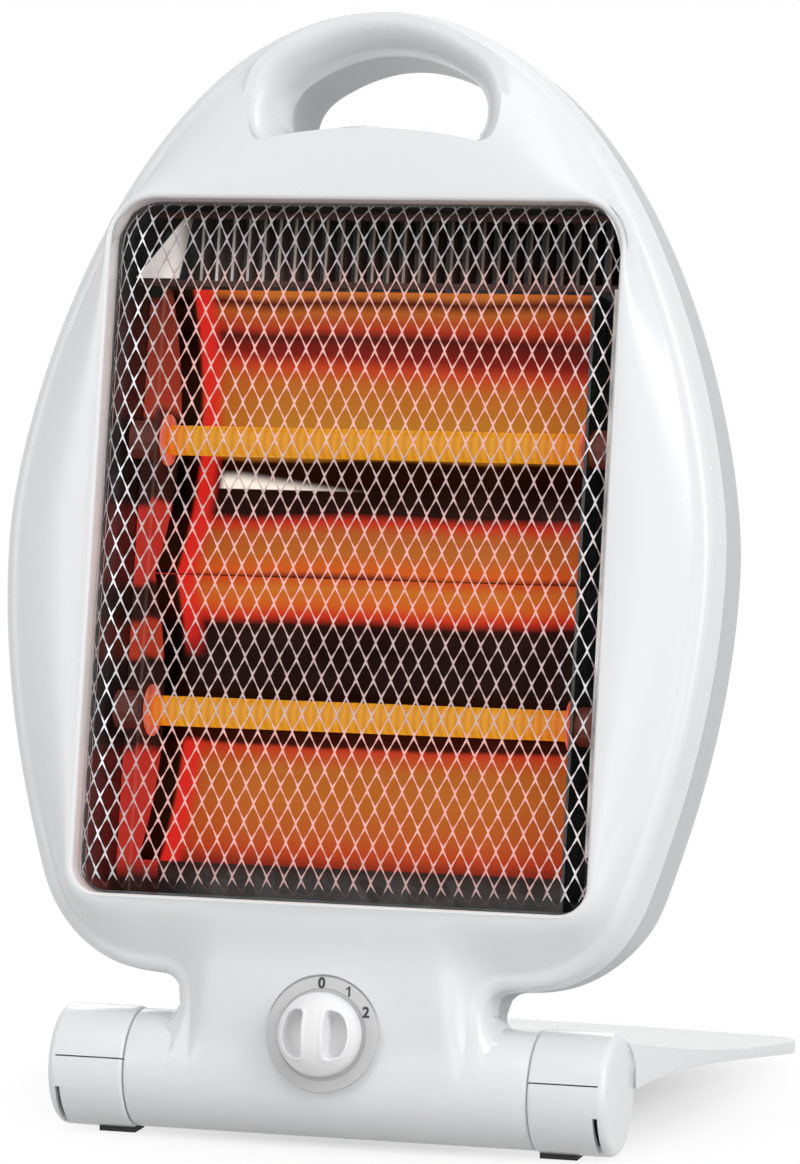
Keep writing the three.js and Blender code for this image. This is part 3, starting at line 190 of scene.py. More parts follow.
def close_up(piece, crease=32):
    """Merges doubles, points the faces out, and shades smooth up to a crease."""
    work = bmesh.new()
    work.from_mesh(piece.data)
    bmesh.ops.remove_doubles(work, verts=work.verts, dist=0.004)
    bmesh.ops.dissolve_degenerate(work, edges=work.edges, dist=0.002)
    stray = [e for e in work.edges if not e.link_faces]
    bmesh.ops.delete(work, geom=stray, context="EDGES")
    bmesh.ops.recalc_face_normals(work, faces=work.faces)
    work.to_mesh(piece.data)
    work.free()
    smooth_up_to(piece, crease)


def smooth_up_to(piece, crease):
    piece.data.shade_smooth()
    piece.data.set_sharp_from_angle(angle=math.radians(crease))


def bake(piece):
    """Applies the live modifiers and makes the result a plain mesh."""
    graph = bpy.context.evaluated_depsgraph_get()
    made = bpy.data.meshes.new_from_object(piece.evaluated_get(graph))
    piece.modifiers.clear()
    old = piece.data
    piece.data = made
    if old.users == 0:
        bpy.data.meshes.remove(old)


def drop(piece):
    bpy.data.objects.remove(piece, do_unlink=True)


def carve(piece, tool, way="DIFFERENCE"):
    step = piece.modifiers.new("carve", "BOOLEAN")
    step.operation = way
    step.solver = "MANIFOLD"
    step.object = tool
    bake(piece)
    drop(tool)


def thicken(piece, wall):
    step = piece.modifiers.new("wall", "SOLIDIFY")
    step.thickness = wall
    step.offset = -1
    step.use_even_offset = False
    step.use_quality_normals = True
    bake(piece)


def soften(piece, width, segments=2, angle=40):
    step = piece.modifiers.new("soften", "BEVEL")
    step.width = width
    step.segments = segments
    step.limit_method = "ANGLE"
    step.angle_limit = math.radians(angle)
    step.use_clamp_overlap = True
    step.harden_normals = False
    bake(piece)


def weld(name, *parts, skins=None):
    """Joins separate closed bodies into one object; skins says which finish each one takes."""
    work = bmesh.new()
    for number, part in enumerate(parts):
        before = len(work.faces)
        work.from_mesh(part.data)
        work.faces.ensure_lookup_table()
        for face in work.faces[before:]:
            face.material_index = skins[number] if skins else 0
        drop(part)
    mesh = bpy.data.meshes.new(name)
    work.to_mesh(mesh)
    work.free()
    return new_object(name, mesh)


def settle(piece, place, body, slot, *finishes, stands_for=()):
    """Puts a finished piece in the model, on its body, in its material."""
    piece.data.transform(place)
    chosen = [min(face.material_index, len(finishes) - 1) for face in piece.data.polygons]
    piece.data.materials.clear()
    for finish in finishes:
        piece.data.materials.append(finish)
    piece.data.polygons.foreach_set("material_index", chosen)
    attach(piece, body)
    if stands_for:
        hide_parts(*stands_for)
    return piece


def skin(rings, closed=True):
    """Quads between neighbouring rings of points."""
    count = len(rings[0])
    faces = []
    for r in range(len(rings) - 1):
        for i in range(count if closed else count - 1):
            j = (i + 1) % count
            faces.append((r * count + i, r * count + j, (r + 1) * count + j, (r + 1) * count + i))
    return [p for ring in rings for p in ring], faces


def loft(name, rings, crease=32):
    """A skin through closed rings of points, with both ends capped."""
    points, faces = skin(rings)
    count = len(rings[0])
    last = (len(rings) - 1) * count
    faces.append(tuple(range(count - 1, -1, -1)))
    faces.append(tuple(range(last, last + count)))
    piece = solid_piece(name, points, faces)
    close_up(piece, crease)
    return piece


def point_on(axis, along, a, b):
    """A point at a distance along one axis, with its two other coordinates in order."""
    place = [a, b]
    place.insert("xyz".index(axis), along)
    return tuple(place)


def prism(name, outline, axis, low, high, crease=32):
    """An outline drawn out along one axis."""
    rings = [[point_on(axis, along, a, b) for a, b in outline] for along in (low, high)]
    return loft(name, rings, crease)


def turned(name, profile, sides=64, axis="x", at=None, start=0.0, sweep=2 * math.pi):
    """A profile of (along, radius) turned about an axis, or part of a turn."""
    whole = sweep > 2 * math.pi - 1e-6
    steps = sides if whole else sides + 1
    rings = []
    for i in range(steps):
        angle = start + sweep * i / sides
        c, s = math.cos(angle), math.sin(angle)
        rings.append([point_on(axis, along, radius * c, radius * s) for along, radius in profile])
    points, faces = skin(rings)
    count = len(profile)
    if whole:
        for k in range(count):
            n = (k + 1) % count
            faces.append(((steps - 1) * count + k, (steps - 1) * count + n, n, k))
        on_axis = [k for k in range(count) if profile[k][1] == 0]
        faces = [f for f in faces if not all(v % count in on_axis for v in f)]
    else:
        faces.append(tuple(range(count)))
        faces.append(tuple((steps - 1) * count + k for k in range(count - 1, -1, -1)))
    piece = solid_piece(name, points, faces)
    close_up(piece)
    if at:
        piece.data.transform(Matrix.Translation(at))
    return piece


def rod(low, high, radius):
    """The profile of a plain round rod, to be turned."""
    return [(low, 0), (low, radius), (high, radius), (high, 0)]


def block(name, x0, x1, y0, y1, z0, z1):
    corners = [(x, y, z) for x in (x0, x1) for y in (y0, y1) for z in (z0, z1)]
    faces = [(0, 1, 3, 2), (4, 6, 7, 5), (0, 4, 5, 1), (2, 3, 7, 6), (0, 2, 6, 4), (1, 5, 7, 3)]
    piece = solid_piece(name, corners, faces)
    close_up(piece)
    return piece


def arc(cx, cy, radius, start, end, steps):
    """Points of a circular arc, angles in degrees."""
    for i in range(steps + 1):
        angle = math.radians(start + (end - start) * i / steps)
        yield cx + radius * math.cos(angle), cy + radius * math.sin(angle)


def bezier(points, steps):
    made = []
    for i in range(steps + 1):
        share = i / steps
        level = [np.array(p, float) for p in points]
        while len(level) > 1:
            level = [a + (b - a) * share for a, b in zip(level, level[1:])]
        made.append(tuple(level[0]))
    return made


def smooth_step(value, low, high):
    share = min(max((value - low) / (high - low), 0), 1)
    return share * share * (3 - 2 * share)


def blended_max(a, b, width):
    """The larger of two depths, with a soft change between them."""
    near = max(width - abs(a - b), 0) / width
    return max(a, b) + near * near * width / 4


# ------------------------------------------------------------------ node tools
# A socket knows its own node tree, so these take only sockets, numbers and colours.


def add(near, kind, **settings):
    """A new node in the tree that a socket belongs to."""
    node = near.id_data.nodes.new(kind)
    for name, value in settings.items():
        setattr(node, name, value)
    return node


def feed(socket, value):
    """Gives a socket another node's output, a colour, or any plain value."""
    if isinstance(value, bpy.types.NodeSocket):
        socket.id_data.links.new(value, socket)
    elif socket.type == "RGBA":
        socket.default_value = (*value, 1)
    else:
        socket.default_value = value


def fill(node, values):
    """Feeds several of a node's sockets by their names."""
    for name, value in values.items():
        feed(node.inputs[name], value)


def calculate(operation, first, *others):
    """One sum; the first value is another node's output."""
    node = add(first, "ShaderNodeMath", operation=operation)
    for socket, value in zip(node.inputs, (first, *others)):
        feed(socket, value)
    return node.outputs[0]


def start_tree(name, sizes):
    """A Geometry Nodes tree with a named input for each size; gives it and its inputs."""
    tree = bpy.data.node_groups.new(name, "GeometryNodeTree")
    sockets = tree.interface
    sockets.new_socket("Geometry", in_out="INPUT", socket_type="NodeSocketGeometry")
    for label, value in sizes.items():
        kind = "NodeSocketInt" if isinstance(value, int) else "NodeSocketFloat"
        sockets.new_socket(label, in_out="INPUT", socket_type=kind).default_value = value
    sockets.new_socket("Geometry", in_out="OUTPUT", socket_type="NodeSocketGeometry")
    return tree, tree.nodes.new("NodeGroupInput").outputs


def stamp(points, piece, finish, turn=(0, 0, 0)):
    """Ends a tree: one copy of a piece on each point, made real, in its finish."""
    source = add(points, "GeometryNodeObjectInfo")
    feed(source.inputs["Object"], piece)
    copies = add(points, "GeometryNodeInstanceOnPoints")
    fill(copies, {"Points": points, "Instance": source.outputs["Geometry"], "Rotation": turn})
    real = add(points, "GeometryNodeRealizeInstances")
    feed(real.inputs["Geometry"], copies.outputs[0])
    painted = add(points, "GeometryNodeSetMaterial")
    fill(painted, {"Geometry": real.outputs[0], "Material": finish})
    feed(add(points, "NodeGroupOutput").inputs[0], painted.outputs[0])


def grow(name, tree, sizes):
    """Runs a Geometry Nodes tree with its sizes and keeps the result as a plain mesh."""
    piece = solid_piece(name, [(0, 0, 0)], [])
    step = piece.modifiers.new(tree.name, "NODES")
    step.node_group = tree
    for item in tree.interface.items_tree:
        if item.in_out == "INPUT" and item.name in sizes:
            step[item.identifier] = sizes[item.name]
    bake(piece)
    return piece


# ------------------------------------------------------------------ outlines


def head_outline():
    half = [(0, -8), (25, -8), (50, -8), (50, 0), (50, 8), (50, 15), (50, 22)]
    half += bezier([(50, 22), (50, 30), (58, 30)], 14)[1:]
    half += bezier([(58, 30), (88, 31), (98, 62)], 60)[1:]
    half += bezier([(98, 62), (105, 84), (116, 120), (116, 165)], 80)[1:]
    half += bezier([(116, 165), (116, 213), (80, 338), (0, 338)], 160)[1:]
    return half + [(-x, z) for x, z in reversed(half[1:-1])]


def shrink(outline, amount):
    """An outline moved inwards along its normals."""
    p = np.array(outline, float)
    before = p - np.roll(p, 1, axis=0)
    after = np.roll(p, -1, axis=0) - p
    before /= np.linalg.norm(before, axis=1)[:, None]
    after /= np.linalg.norm(after, axis=1)[:, None]
    normal = np.stack([-before[:, 1] - after[:, 1], before[:, 0] + after[:, 0]], axis=1)
    return p + normal * (amount * 2 / (normal**2).sum(axis=1))[:, None]


def window_outline(margin, steps=10):
    half, low, high = WINDOW_HALF + margin, WINDOW_LOW - margin, WINDOW_HIGH + margin
    r_low, r_high = (max(r + margin, 0.4) for r in WINDOW_R)
    points = list(arc(half - r_low, low + r_low, r_low, -90, 0, steps))
    points += arc(half - r_high, high - r_high, r_high, 0, 90, steps)
    points += arc(-half + r_high, high - r_high, r_high, 90, 180, steps)
    points += arc(-half + r_low, low + r_low, r_low, 180, 270, steps)
    return points


def slot_outline(margin=0.0, steps=12):
    """The handle slot: a bowed lower and upper edge joined by round ends."""
    sink = min(margin, WALL) + max(margin - WALL, 0) * 0.3
    w, top, low = 34 + margin, 326 + margin, 302 - sink
    end_top, end_low = 313 + margin * 0.6, 298 - sink
    risen, middle = end_top + 5, (end_top + end_low) / 2
    path = bezier([(-w + 6, end_low), (0, 2 * low - end_low), (w - 6, end_low)], 2 * steps)
    path += bezier([(w - 6, end_low), (w, end_low), (w, middle)], steps)[1:]
    path += bezier([(w, middle), (w, end_top), (w - 8, risen)], steps)[1:]
    path += bezier([(w - 8, risen), (0, 2 * top - risen), (-w + 8, risen)], 3 * steps)[1:]
    path += bezier([(-w + 8, risen), (-w, end_top), (-w, middle)], steps)[1:]
    path += bezier([(-w, middle), (-w, end_low), (-w + 6, end_low)], steps)[1:-1]
    return path


def seen_from_window(outline, bearings):
    """Where rays from the window's middle leave an outline."""
    p = np.array(outline, float)
    angle = np.arctan2(p[:, 0], WINDOW_MIDDLE - p[:, 1])
    order = np.argsort(angle)
    angle, p = angle[order], p[order]
    angle = np.concatenate([angle - 2 * math.pi, angle, angle + 2 * math.pi])
    p = np.concatenate([p, p, p])
    i = np.searchsorted(angle, bearings, side="right") - 1
    a, b = p[i], p[i + 1]
    dx, dz = np.sin(bearings), -np.cos(bearings)
    ex, ez = b[:, 0] - a[:, 0], b[:, 1] - a[:, 1]
    rx, rz = a[:, 0], a[:, 1] - WINDOW_MIDDLE
    det = dx * ez - dz * ex
    det = np.where(np.abs(det) < 1e-12, 1e-12, det)
    far = (rx * ez - rz * ex) / det
    return np.stack([dx * far, WINDOW_MIDDLE + dz * far], axis=1)


def bearings_round():
    """Even steps along the head's outline, closer at the window's corners."""
    p = np.array(head_outline(), float)
    closed = np.vstack([p, p[:1]])
    run = np.concatenate([[0], np.cumsum(np.linalg.norm(np.diff(closed, axis=0), axis=1))])
    at = np.linspace(0, run[-1], 300, endpoint=False)
    x, z = np.interp(at, run, closed[:, 0]), np.interp(at, run, closed[:, 1])
    corner = np.array(window_outline(0, 9), float)
    neck = p[(np.abs(p[:, 0]) < NECK_HALF) & (p[:, 1] < 31)]
    x = np.concatenate([x, corner[:, 0], neck[:, 0]])
    z = np.concatenate([z, corner[:, 1], neck[:, 1]])
    angle = np.sort(np.arctan2(x, WINDOW_MIDDLE - z))
    keep = np.concatenate([[True], np.diff(angle) > 0.004])
    return angle[keep]


def neck_share(z):
    return 0.82 + 0.18 * smooth_step(z, 34, 56)


def foot_flare(x, y, z, share):
    """The neck's sides run out in a round foot where they meet the barrel."""
    above = min(max(math.hypot(y, z) - BARREL_R, 0), NECK_FOOT_R)
    if abs(x) < 40 or z > 40:
        return x
    out = NECK_FOOT_R - math.sqrt(NECK_FOOT_R**2 - (NECK_FOOT_R - above) ** 2)
    return x + math.copysign(out * share, x)


# ------------------------------------------------------------------ shells


def front_rings():
    outline = head_outline()
    bearings = bearings_round()
    rings = []

    def ring(amount, depth, side, soft=False, points=None):
        at = seen_from_window(shrink(outline, amount), bearings) if points is None else points
        made = []
        for x, z in at:
            y = depth * neck_share(z) if depth > 1 else depth
            if soft and abs(x) < NECK_HALF and z < 22:
                cylinder = math.sqrt(max(BARREL_R**2 - z * z, 0))
                y -= 0.35 * max(-z, 0)
                y = blended_max(y, cylinder, 4.5) - 0.03
            made.append((foot_flare(x, y, z, side), -y, z))
        rings.append(made)

    ring(0, SEAM, 1)
    for share in (0.33, 0.66, 1):
        ring(DRAFT * share, SEAM + (EDGE_DEPTH - EDGE_ROUND - SEAM) * share, 1)
    for step in range(1, 8):
        angle = step * math.pi / 14
        inset = DRAFT + (EDGE_ROUND - DRAFT) * (1 - math.cos(angle))
        ring(inset, EDGE_DEPTH - EDGE_ROUND * (1 - math.sin(angle)), math.cos(angle), step > 3)
    edge = seen_from_window(shrink(outline, EDGE_ROUND), bearings)
    lip = seen_from_window(window_outline(LIP_ROUND, 24), bearings)
    steps = 16
    for step in range(1, steps + 1):
        share = step / steps
        bulge = 1 - (1 - share) ** 2
        mixed = edge + (lip - edge) * share
        ring(0, EDGE_DEPTH + (FRONT_DEPTH - EDGE_DEPTH) * bulge, 0, True, mixed)
    for step in range(1, 7):
        angle = step * math.pi / 12
        margin = LIP_ROUND * (1 - math.sin(angle))
        at = seen_from_window(window_outline(margin, 24), bearings)
        rings.append([(x, -FRONT_DEPTH + LIP_ROUND * (1 - math.cos(angle)), z) for x, z in at])
    for back in (-20, FLANGE_BACK):
        at = seen_from_window(window_outline(0, 24), bearings)
        rings.append([(x, back, z) for x, z in at])
    return rings


def rear_rings():
    outline = head_outline()
    bearings = bearings_round()
    rings = []

    def ring(at, depth, side):
        made = []
        for x, z in at:
            y = depth * neck_share(z) ** 2 if depth > 1 else depth
            made.append((foot_flare(x, y, z, side), y, z))
        rings.append(made)

    ring(seen_from_window(outline, bearings), SEAM, 1)
    for share in (0.33, 0.66, 1):
        amount = DRAFT * share
        depth = SEAM + (REAR_STRAIGHT - SEAM) * share
        ring(seen_from_window(shrink(outline, amount), bearings), depth, 1)
    for step in range(1, 9):
        angle = step * math.pi / 16
        amount = DRAFT + (REAR_ROUND - DRAFT) * (1 - math.cos(angle))
        depth = REAR_STRAIGHT + (REAR_DEPTH - REAR_STRAIGHT) * math.sin(angle)
        ring(seen_from_window(shrink(outline, amount), bearings), depth, math.cos(angle))
    edge = seen_from_window(shrink(outline, REAR_ROUND), bearings)
    middle = np.array([0, WINDOW_MIDDLE])
    for share in (0.15, 0.35, 0.6, 0.85, 0.97):
        ring(edge + (middle - edge) * share, REAR_DEPTH, 0)
    return rings


def walled(name, points, faces, side):
    """An open skin that faces forwards or back, given its wall on the inside."""
    piece = solid_piece(name, points, faces)
    close_up(piece)
    facing = sum(face.normal.y * face.area for face in piece.data.polygons)
    if facing * side < 0:
        piece.data.flip_normals()
    thicken(piece, WALL)
    return piece


def half_barrel(name, side):
    """Half of the barrel between the drums, with round shoulders and flat ends."""
    profile = [(-BARREL_HALF, JOURNAL_R)]
    profile += arc(-BARREL_HALF + 1, BARREL_R - 1, 1, 180, 90, 4)
    profile += [(x, BARREL_R) for x in range(-60, 61, 10)]
    profile += arc(BARREL_HALF - 1, BARREL_R - 1, 1, 90, 0, 4)
    profile += [(BARREL_HALF, JOURNAL_R)]
    rings = []
    trim = math.asin(SEAM / BARREL_R)
    for i in range(65):
        angle = trim + (math.pi - 2 * trim) * i / 64
        y, z = side * math.sin(angle), math.cos(angle)
        rings.append([(x, r * y, r * z) for x, r in profile])
    return walled(name, *skin(rings, closed=False), side)


def clear_barrel(piece):
    """Cuts the room inside the barrel out of a shell's neck."""
    end = BARREL_HALF - WALL
    carve(piece, turned("inside", rod(-end, end, BARREL_ROOM_R), 48))


def slot_tool(stages):
    """A plug through the handle slot; each stage is a margin and a place along y."""
    return loft("slot_tool", [[(x, y, z) for x, z in slot_outline(m)] for m, y in stages])


def scoop_stages():
    """The scooped wall round the slot: upright at the seam, opening out to the face."""
    stages = [(0, SEAM)]
    for step in range(0, 9):
        share = step / 8
        margin = 7.5 * (1 - math.cos(share * math.pi / 2)) ** 0.8
        stages.append((margin, -9 - 13.5 * math.sin(share * math.pi / 2)))
    return stages


def front_shell():
    piece = walled("front_shell_skin", *skin(front_rings()), -1)
    dial = (0, 0, DIAL_Z)
    carve(piece, turned("seat", rod(-14, DIAL_BACK, DIAL_SEAT_R), 64, "y", dial), "UNION")
    clear_barrel(piece)
    carve(piece, slot_tool([(WALL + margin, y) for margin, y in scoop_stages()]), "UNION")
    carve(piece, slot_tool([(0, 5)] + scoop_stages() + [(9, -40)]))
    carve(piece, turned("recess", rod(-60, DIAL_BACK, DIAL_RECESS_R), 96, "y", dial))
    close_up(piece, 38)
    return weld("front_shell_moulding", piece, half_barrel("front_barrel", -1))


def rear_shell():
    rings = rear_rings()
    points, faces = skin(rings)
    points.append((0, REAR_DEPTH, WINDOW_MIDDLE))
    last, count = (len(rings) - 1) * len(rings[0]), len(rings[0])
    faces += [(last + i, last + (i + 1) % count, len(points) - 1) for i in range(count)]
    piece = walled("rear_shell_skin", points, faces, 1)
    clear_barrel(piece)
    carve(piece, slot_tool([(WALL, SEAM), (WALL, 31.4)]), "UNION")
    flare = [(0, -5), (0, 28), (0.6, 30.5), (2.4, 31.8), (6, 33), (6, 40)]
    carve(piece, slot_tool(flare))
    gland = turned("gland_hole", rod(0, 60, GLAND_R), 32, "y", (0, 0, GLAND_Z))
    carve(piece, weld("rear_tools", *louvres(), *screw_sinks(), gland))
    close_up(piece, 38)
    return weld("rear_shell_moulding", piece, half_barrel("rear_barrel", 1))


def louvres():
    """Two fields of air slots, each row in a left and a right half."""
    for low, rows in LOUVRE_FIELDS:
        for row in range(rows):
            z = low + row * LOUVRE_PITCH
            for x0, x1 in LOUVRE_SPANS:
                yield louvre_tool(x0, x1, z, z + LOUVRE_HEIGHT)


def louvre_tool(x0, x1, z0, z1):
    """One air slot with round ends."""
    radius = (z1 - z0) / 2
    middle = (z0 + z1) / 2
    outline = list(arc(x1 - radius, middle, radius, -90, 90, 8))
    outline += arc(x0 + radius, middle, radius, 90, 270, 8)
    return prism("louvre", outline, "y", 21, 60)


def screw_sinks():
    """Stepped holes for the screws that join the shells."""
    profile = [(15, 0), (15, 3.3), (31, 3.3), (33, 4.6), (60, 4.6), (60, 0)]
    for x, z in SCREW_PLACES:
        yield turned("sink", profile, 24, "y", (x, 0, z))


# ------------------------------------------------------------------ guard


def knuckle():
    """One crossing of the guard's strands, with half of each strand that leaves it."""
    w, h = NET_SIZES["Cell width"] / 4, NET_SIZES["Cell height"] / 4
    half, thick, notch = 0.12, 0.3, 0.9
    reach, waist = half * 1.12, half * 2.1
    upper = [(-w - reach, h), (-w + reach, h), (0, notch), (w - reach, h), (w + reach, h)]
    upper.append((waist, 0))
    outline = upper + [(-x, -z) for x, z in upper]
    points = [(x, -thick / 2 if abs(z) < h - 0.1 else -thick / 2 + 0.12, z) for x, z in outline]
    points += [(x, thick / 2, z) for x, z in outline]
    count = len(outline)
    faces = [tuple(range(count)), tuple(range(2 * count - 1, count - 1, -1))]
    faces += [(i, i + count, (i + 1) % count + count, (i + 1) % count) for i in range(count)]
    piece = solid_piece("knuckle", points, faces)
    close_up(piece)
    return piece


def net_tree(crossing, finish):
    """Crossings on a staggered lattice: two grids, the second moved by half a cell."""
    tree, sizes = start_tree("guard_net", NET_SIZES)
    both = add(sizes[0], "GeometryNodeJoinGeometry")
    for part in (0, 1):
        grid = add(sizes[0], "GeometryNodeMeshGrid")
        shift = add(sizes[0], "ShaderNodeCombineXYZ")
        for axis, cell, count in (("X", "Cell width", "Columns"), ("Y", "Cell height", "Rows")):
            run = calculate("MULTIPLY", sizes[cell], calculate("SUBTRACT", sizes[count], 1))
            fill(grid, {"Vertices " + axis: sizes[count], "Size " + axis: run})
            feed(shift.inputs[axis], calculate("MULTIPLY", sizes[cell], 0.5 * part))
        move = add(sizes[0], "GeometryNodeTransform")
        fill(move, {"Geometry": grid.outputs["Mesh"], "Translation": shift.outputs[0]})
        feed(both.inputs[0], move.outputs[0])
    stamp(both.outputs[0], crossing, finish, (-math.pi / 2, 0, 0))
    return tree


def guard(finish):
    crossing = knuckle()
    net = grow("guard_net", net_tree(crossing, finish), NET_SIZES)
    drop(crossing)
    bend_guard(net)
    edge = block("selvage", *SELVAGE)
    return weld("guard_expanded_mesh", net, guard_rim(), edge, skins=(0, 1, 2))


def bend_guard(net):
    """Lays the flat net over a round edge that follows the window, and trims it."""
    work = bmesh.new()
    work.from_mesh(net.data)
    gone = []
    for v in work.verts:
        x, z, lift = v.co.x, v.co.y, v.co.z
        upper = smooth_step(z, -70, 95)
        radius = 9 + 5 * upper
        reach = 0.5 + radius * math.sin(NET_BEND)
        half_x, half_z = WINDOW_HALF - reach, (WINDOW_HIGH - WINDOW_LOW) / 2 - reach
        ex, ez = max(abs(x) - half_x, 0), max(abs(z) - half_z, 0)
        away = math.hypot(ex, ez)
        y = NET_Y - lift
        if away > 0:
            angle = away / radius
            if angle > NET_BEND + 0.06:
                gone.append(v)
                continue
            run = radius * math.sin(angle)
            y += radius * (1 - math.cos(angle))
            x = math.copysign(min(abs(x), half_x) + ex / away * run, x)
            z = math.copysign(min(abs(z), half_z) + ez / away * run, z)
        v.co = (x, min(y, -15.2), z + WINDOW_MIDDLE)
    bmesh.ops.delete(work, geom=gone, context="VERTS")
    work.to_mesh(net.data)
    work.free()
    smooth_up_to(net, 40)


def guard_rim():
    """The folded border strip that holds the net in the window."""
    front, back, outer, inner = -19.4, -18.3, -0.3, -1.0
    section = ((outer, front), (inner, front), (inner, back), (outer, back), (outer, front))
    rings = [[(x, y, z) for x, z in window_outline(margin, 16)] for margin, y in section]
    rim = solid_piece("guard_rim", *skin(rings))
    close_up(rim)
    return rim


# ------------------------------------------------------------------ heating unit


def trough(name, index):
    """A bright trough: a parabola of thin sheet, from end plate to end plate."""
    shares = [-1 + i / 20 for i in range(41)]
    middle = TROUGH_Z[index]
    inner = [(TROUGH_BACK - TROUGH_DEPTH * s * s, middle + s * TROUGH_RISE) for s in shares]
    outer = [(y + TROUGH_SHEET, z) for y, z in reversed(inner)]
    stations = np.linspace(-TROUGH_HALF, TROUGH_HALF, 9)
    return loft(name, [[(x, y, z) for y, z in inner + outer] for x in stations])


def fin():
    """One bright slat of the top plate, with its front edge folded over."""
    outline = [(-0.5, -3.4), (0.4, -3.4), (0.4, -3.0), (-0.05, -3.0)]
    outline += [(1.4, 3.2), (1.0, 3.4), (-0.5, -2.9)]
    return prism("fin", outline, "z", -10.2, 10.2, 30)


def fin_tree(slat, finish):
    """Slats in a row along the top plate, one pitch apart."""
    tree, sizes = start_tree("fin_row", FIN_SIZES)
    pitch = add(sizes[0], "ShaderNodeCombineXYZ")
    feed(pitch.inputs["X"], sizes["Pitch"])
    row = add(sizes[0], "GeometryNodeMeshLine", mode="OFFSET")
    fill(row, {"Count": sizes["Slats"], "Offset": pitch.outputs[0]})
    stamp(row.outputs[0], slat, finish)
    return tree


def top_plate(finish):
    """The slotted plate over the upper trough: slats between two strips, and its end sheet with a
    painted highlight.
    """
    slat = fin()
    slats = grow("top_slats", fin_tree(slat, finish), FIN_SIZES)
    drop(slat)
    slats.data.transform(Matrix.Translation(FIN_START))
    half = STRIP_HALF
    strips = [block("strip", -half, half, -3.2, -2.6, low, high) for low, high in STRIP_HEIGHTS]
    # The end sheet takes the fins' finish, whose emission paints a white highlight on it.
    corners = [(-82.3, 252.7), (-67.8, 252.7), (-64, 272.3), (-67, 272.3)]
    end = prism("bright_end", corners, "y", -4.4, -3.9)
    return weld("top_finned_plate", slats, *strips, end, skins=(0, 1, 1, 0))


def tube(name, z):
    """A quartz tube with a thin lip near each end."""
    end, edge = TUBE_HALF, TUBE_R - 0.3
    profile = [(-end, TUBE_BORE_R), (-end, edge)]
    profile += [(x, TUBE_R) for x in np.linspace(-end + 0.4, end - 0.4, 40)]
    profile += [(end, edge), (end, TUBE_BORE_R)]
    parts = [turned(name + "_wall", profile, 40)]
    for low in (-69.7, 69.0):
        ring = [(low, 4.9), (low, 8.3), (low + 0.7, 8.3), (low + 0.7, 4.9)]
        parts.append(turned("lip", ring, 40))
    piece = weld(name, *parts, skins=(0, 1, 1))
    piece.data.transform(Matrix.Translation((0, 0, z)))
    return piece


def coil(name, z):
    """Wound resistance wire with straight tails through both ends."""
    tail = (71.5, 66)
    per_turn = 12
    count = COIL_TURNS * per_turn
    path = [(-x, 0.0, 0.0) for x in tail]
    for i in range(count + 1):
        angle = 2 * math.pi * i / per_turn
        radius = COIL_R * min(1, i / per_turn, (count - i) / per_turn)
        along = -COIL_HALF + 2 * COIL_HALF * i / count
        path.append((along, radius * math.sin(angle), radius * math.cos(angle)))
    path += [(x, 0.0, 0.0) for x in reversed(tail)]
    piece = wire_along(name, path, COIL_WIRE_R, 5)
    piece.data.transform(Matrix.Translation((0, 0, z)))
    return piece


def wire_along(name, path, radius, sides):
    """A round wire swept along a path, closed at both ends."""
    p = [Vector(q) for q in path]
    rings = []
    normal = Vector((0, 0, 1))
    for i, at in enumerate(p):
        ahead = (p[min(i + 1, len(p) - 1)] - p[max(i - 1, 0)]).normalized()
        normal = (normal - ahead * normal.dot(ahead)).normalized()
        other = ahead.cross(normal)
        ring = []
        for k in range(sides):
            angle = 2 * math.pi * k / sides
            ring.append(at + (normal * math.cos(angle) + other * math.sin(angle)) * radius)
        rings.append(ring)
    return loft(name, rings, 60)


# ------------------------------------------------------------------ knob and dial


def knob():
    """A low dome with a grip bar left between two D-shaped finger recesses."""
    wall = [(KNOB_R, 0), (KNOB_R, 0.9), (13.25, 1.9), (13.1, 2.6)]
    rings = [knob_ring(radius, height) for radius, height in wall]
    for i in range(KNOB_RINGS + 1):
        rings.append(knob_ring(KNOB_TOP_R - KNOB_TOP_R * (i / KNOB_RINGS)))
    points, faces = skin(rings)
    faces.append(tuple(range(KNOB_SIDES)))
    piece = solid_piece("knob_cap", points, faces)
    close_up(piece, 60)
    # Faces on the recess floors take the second finish, a darker grey that is painted shade.
    for face in piece.data.polygons:
        x, y, z = face.center
        painted_shade_floor = abs(KNOB_BACK - KNOB_FLOOR - y) < 0.12 and math.hypot(x, z - DIAL_Z) < 11
        face.material_index = 1 if painted_shade_floor else 0
    return piece


def knob_ring(radius, height=None):
    """One ring of the knob's skin, at a set height or at the height of its relief."""
    ring = []
    for k in range(KNOB_SIDES):
        angle = 2 * math.pi * k / KNOB_SIDES
        x, z = radius * math.cos(angle), radius * math.sin(angle)
        rise = knob_height(x, z) if height is None else height
        ring.append((x, KNOB_BACK - rise, DIAL_Z + z))
    return ring


def knob_height(x, z):
    away = math.hypot(x, z)
    dome = KNOB_FLOOR + 7.65 * max(1 - (away / 13.25) ** 2.3, 0) ** 0.72
    # How deep the spot lies inside the D: past the bar's side and inside the outer curve.
    past_bar, past_curve, past_ends = 3.7 - abs(x), away - 10.4, abs(z) - 7.5
    inside = -blended_max(blended_max(past_bar, past_curve, 1.4), past_ends, 2.4)
    share = smooth_step(inside, -0.35, 0.55)
    rim = 0.3 * math.exp(-(((inside + 0.7) / 0.7) ** 2)) if dome > 4 else 0
    return dome * (1 - share) + KNOB_FLOOR * share + rim * (1 - share)


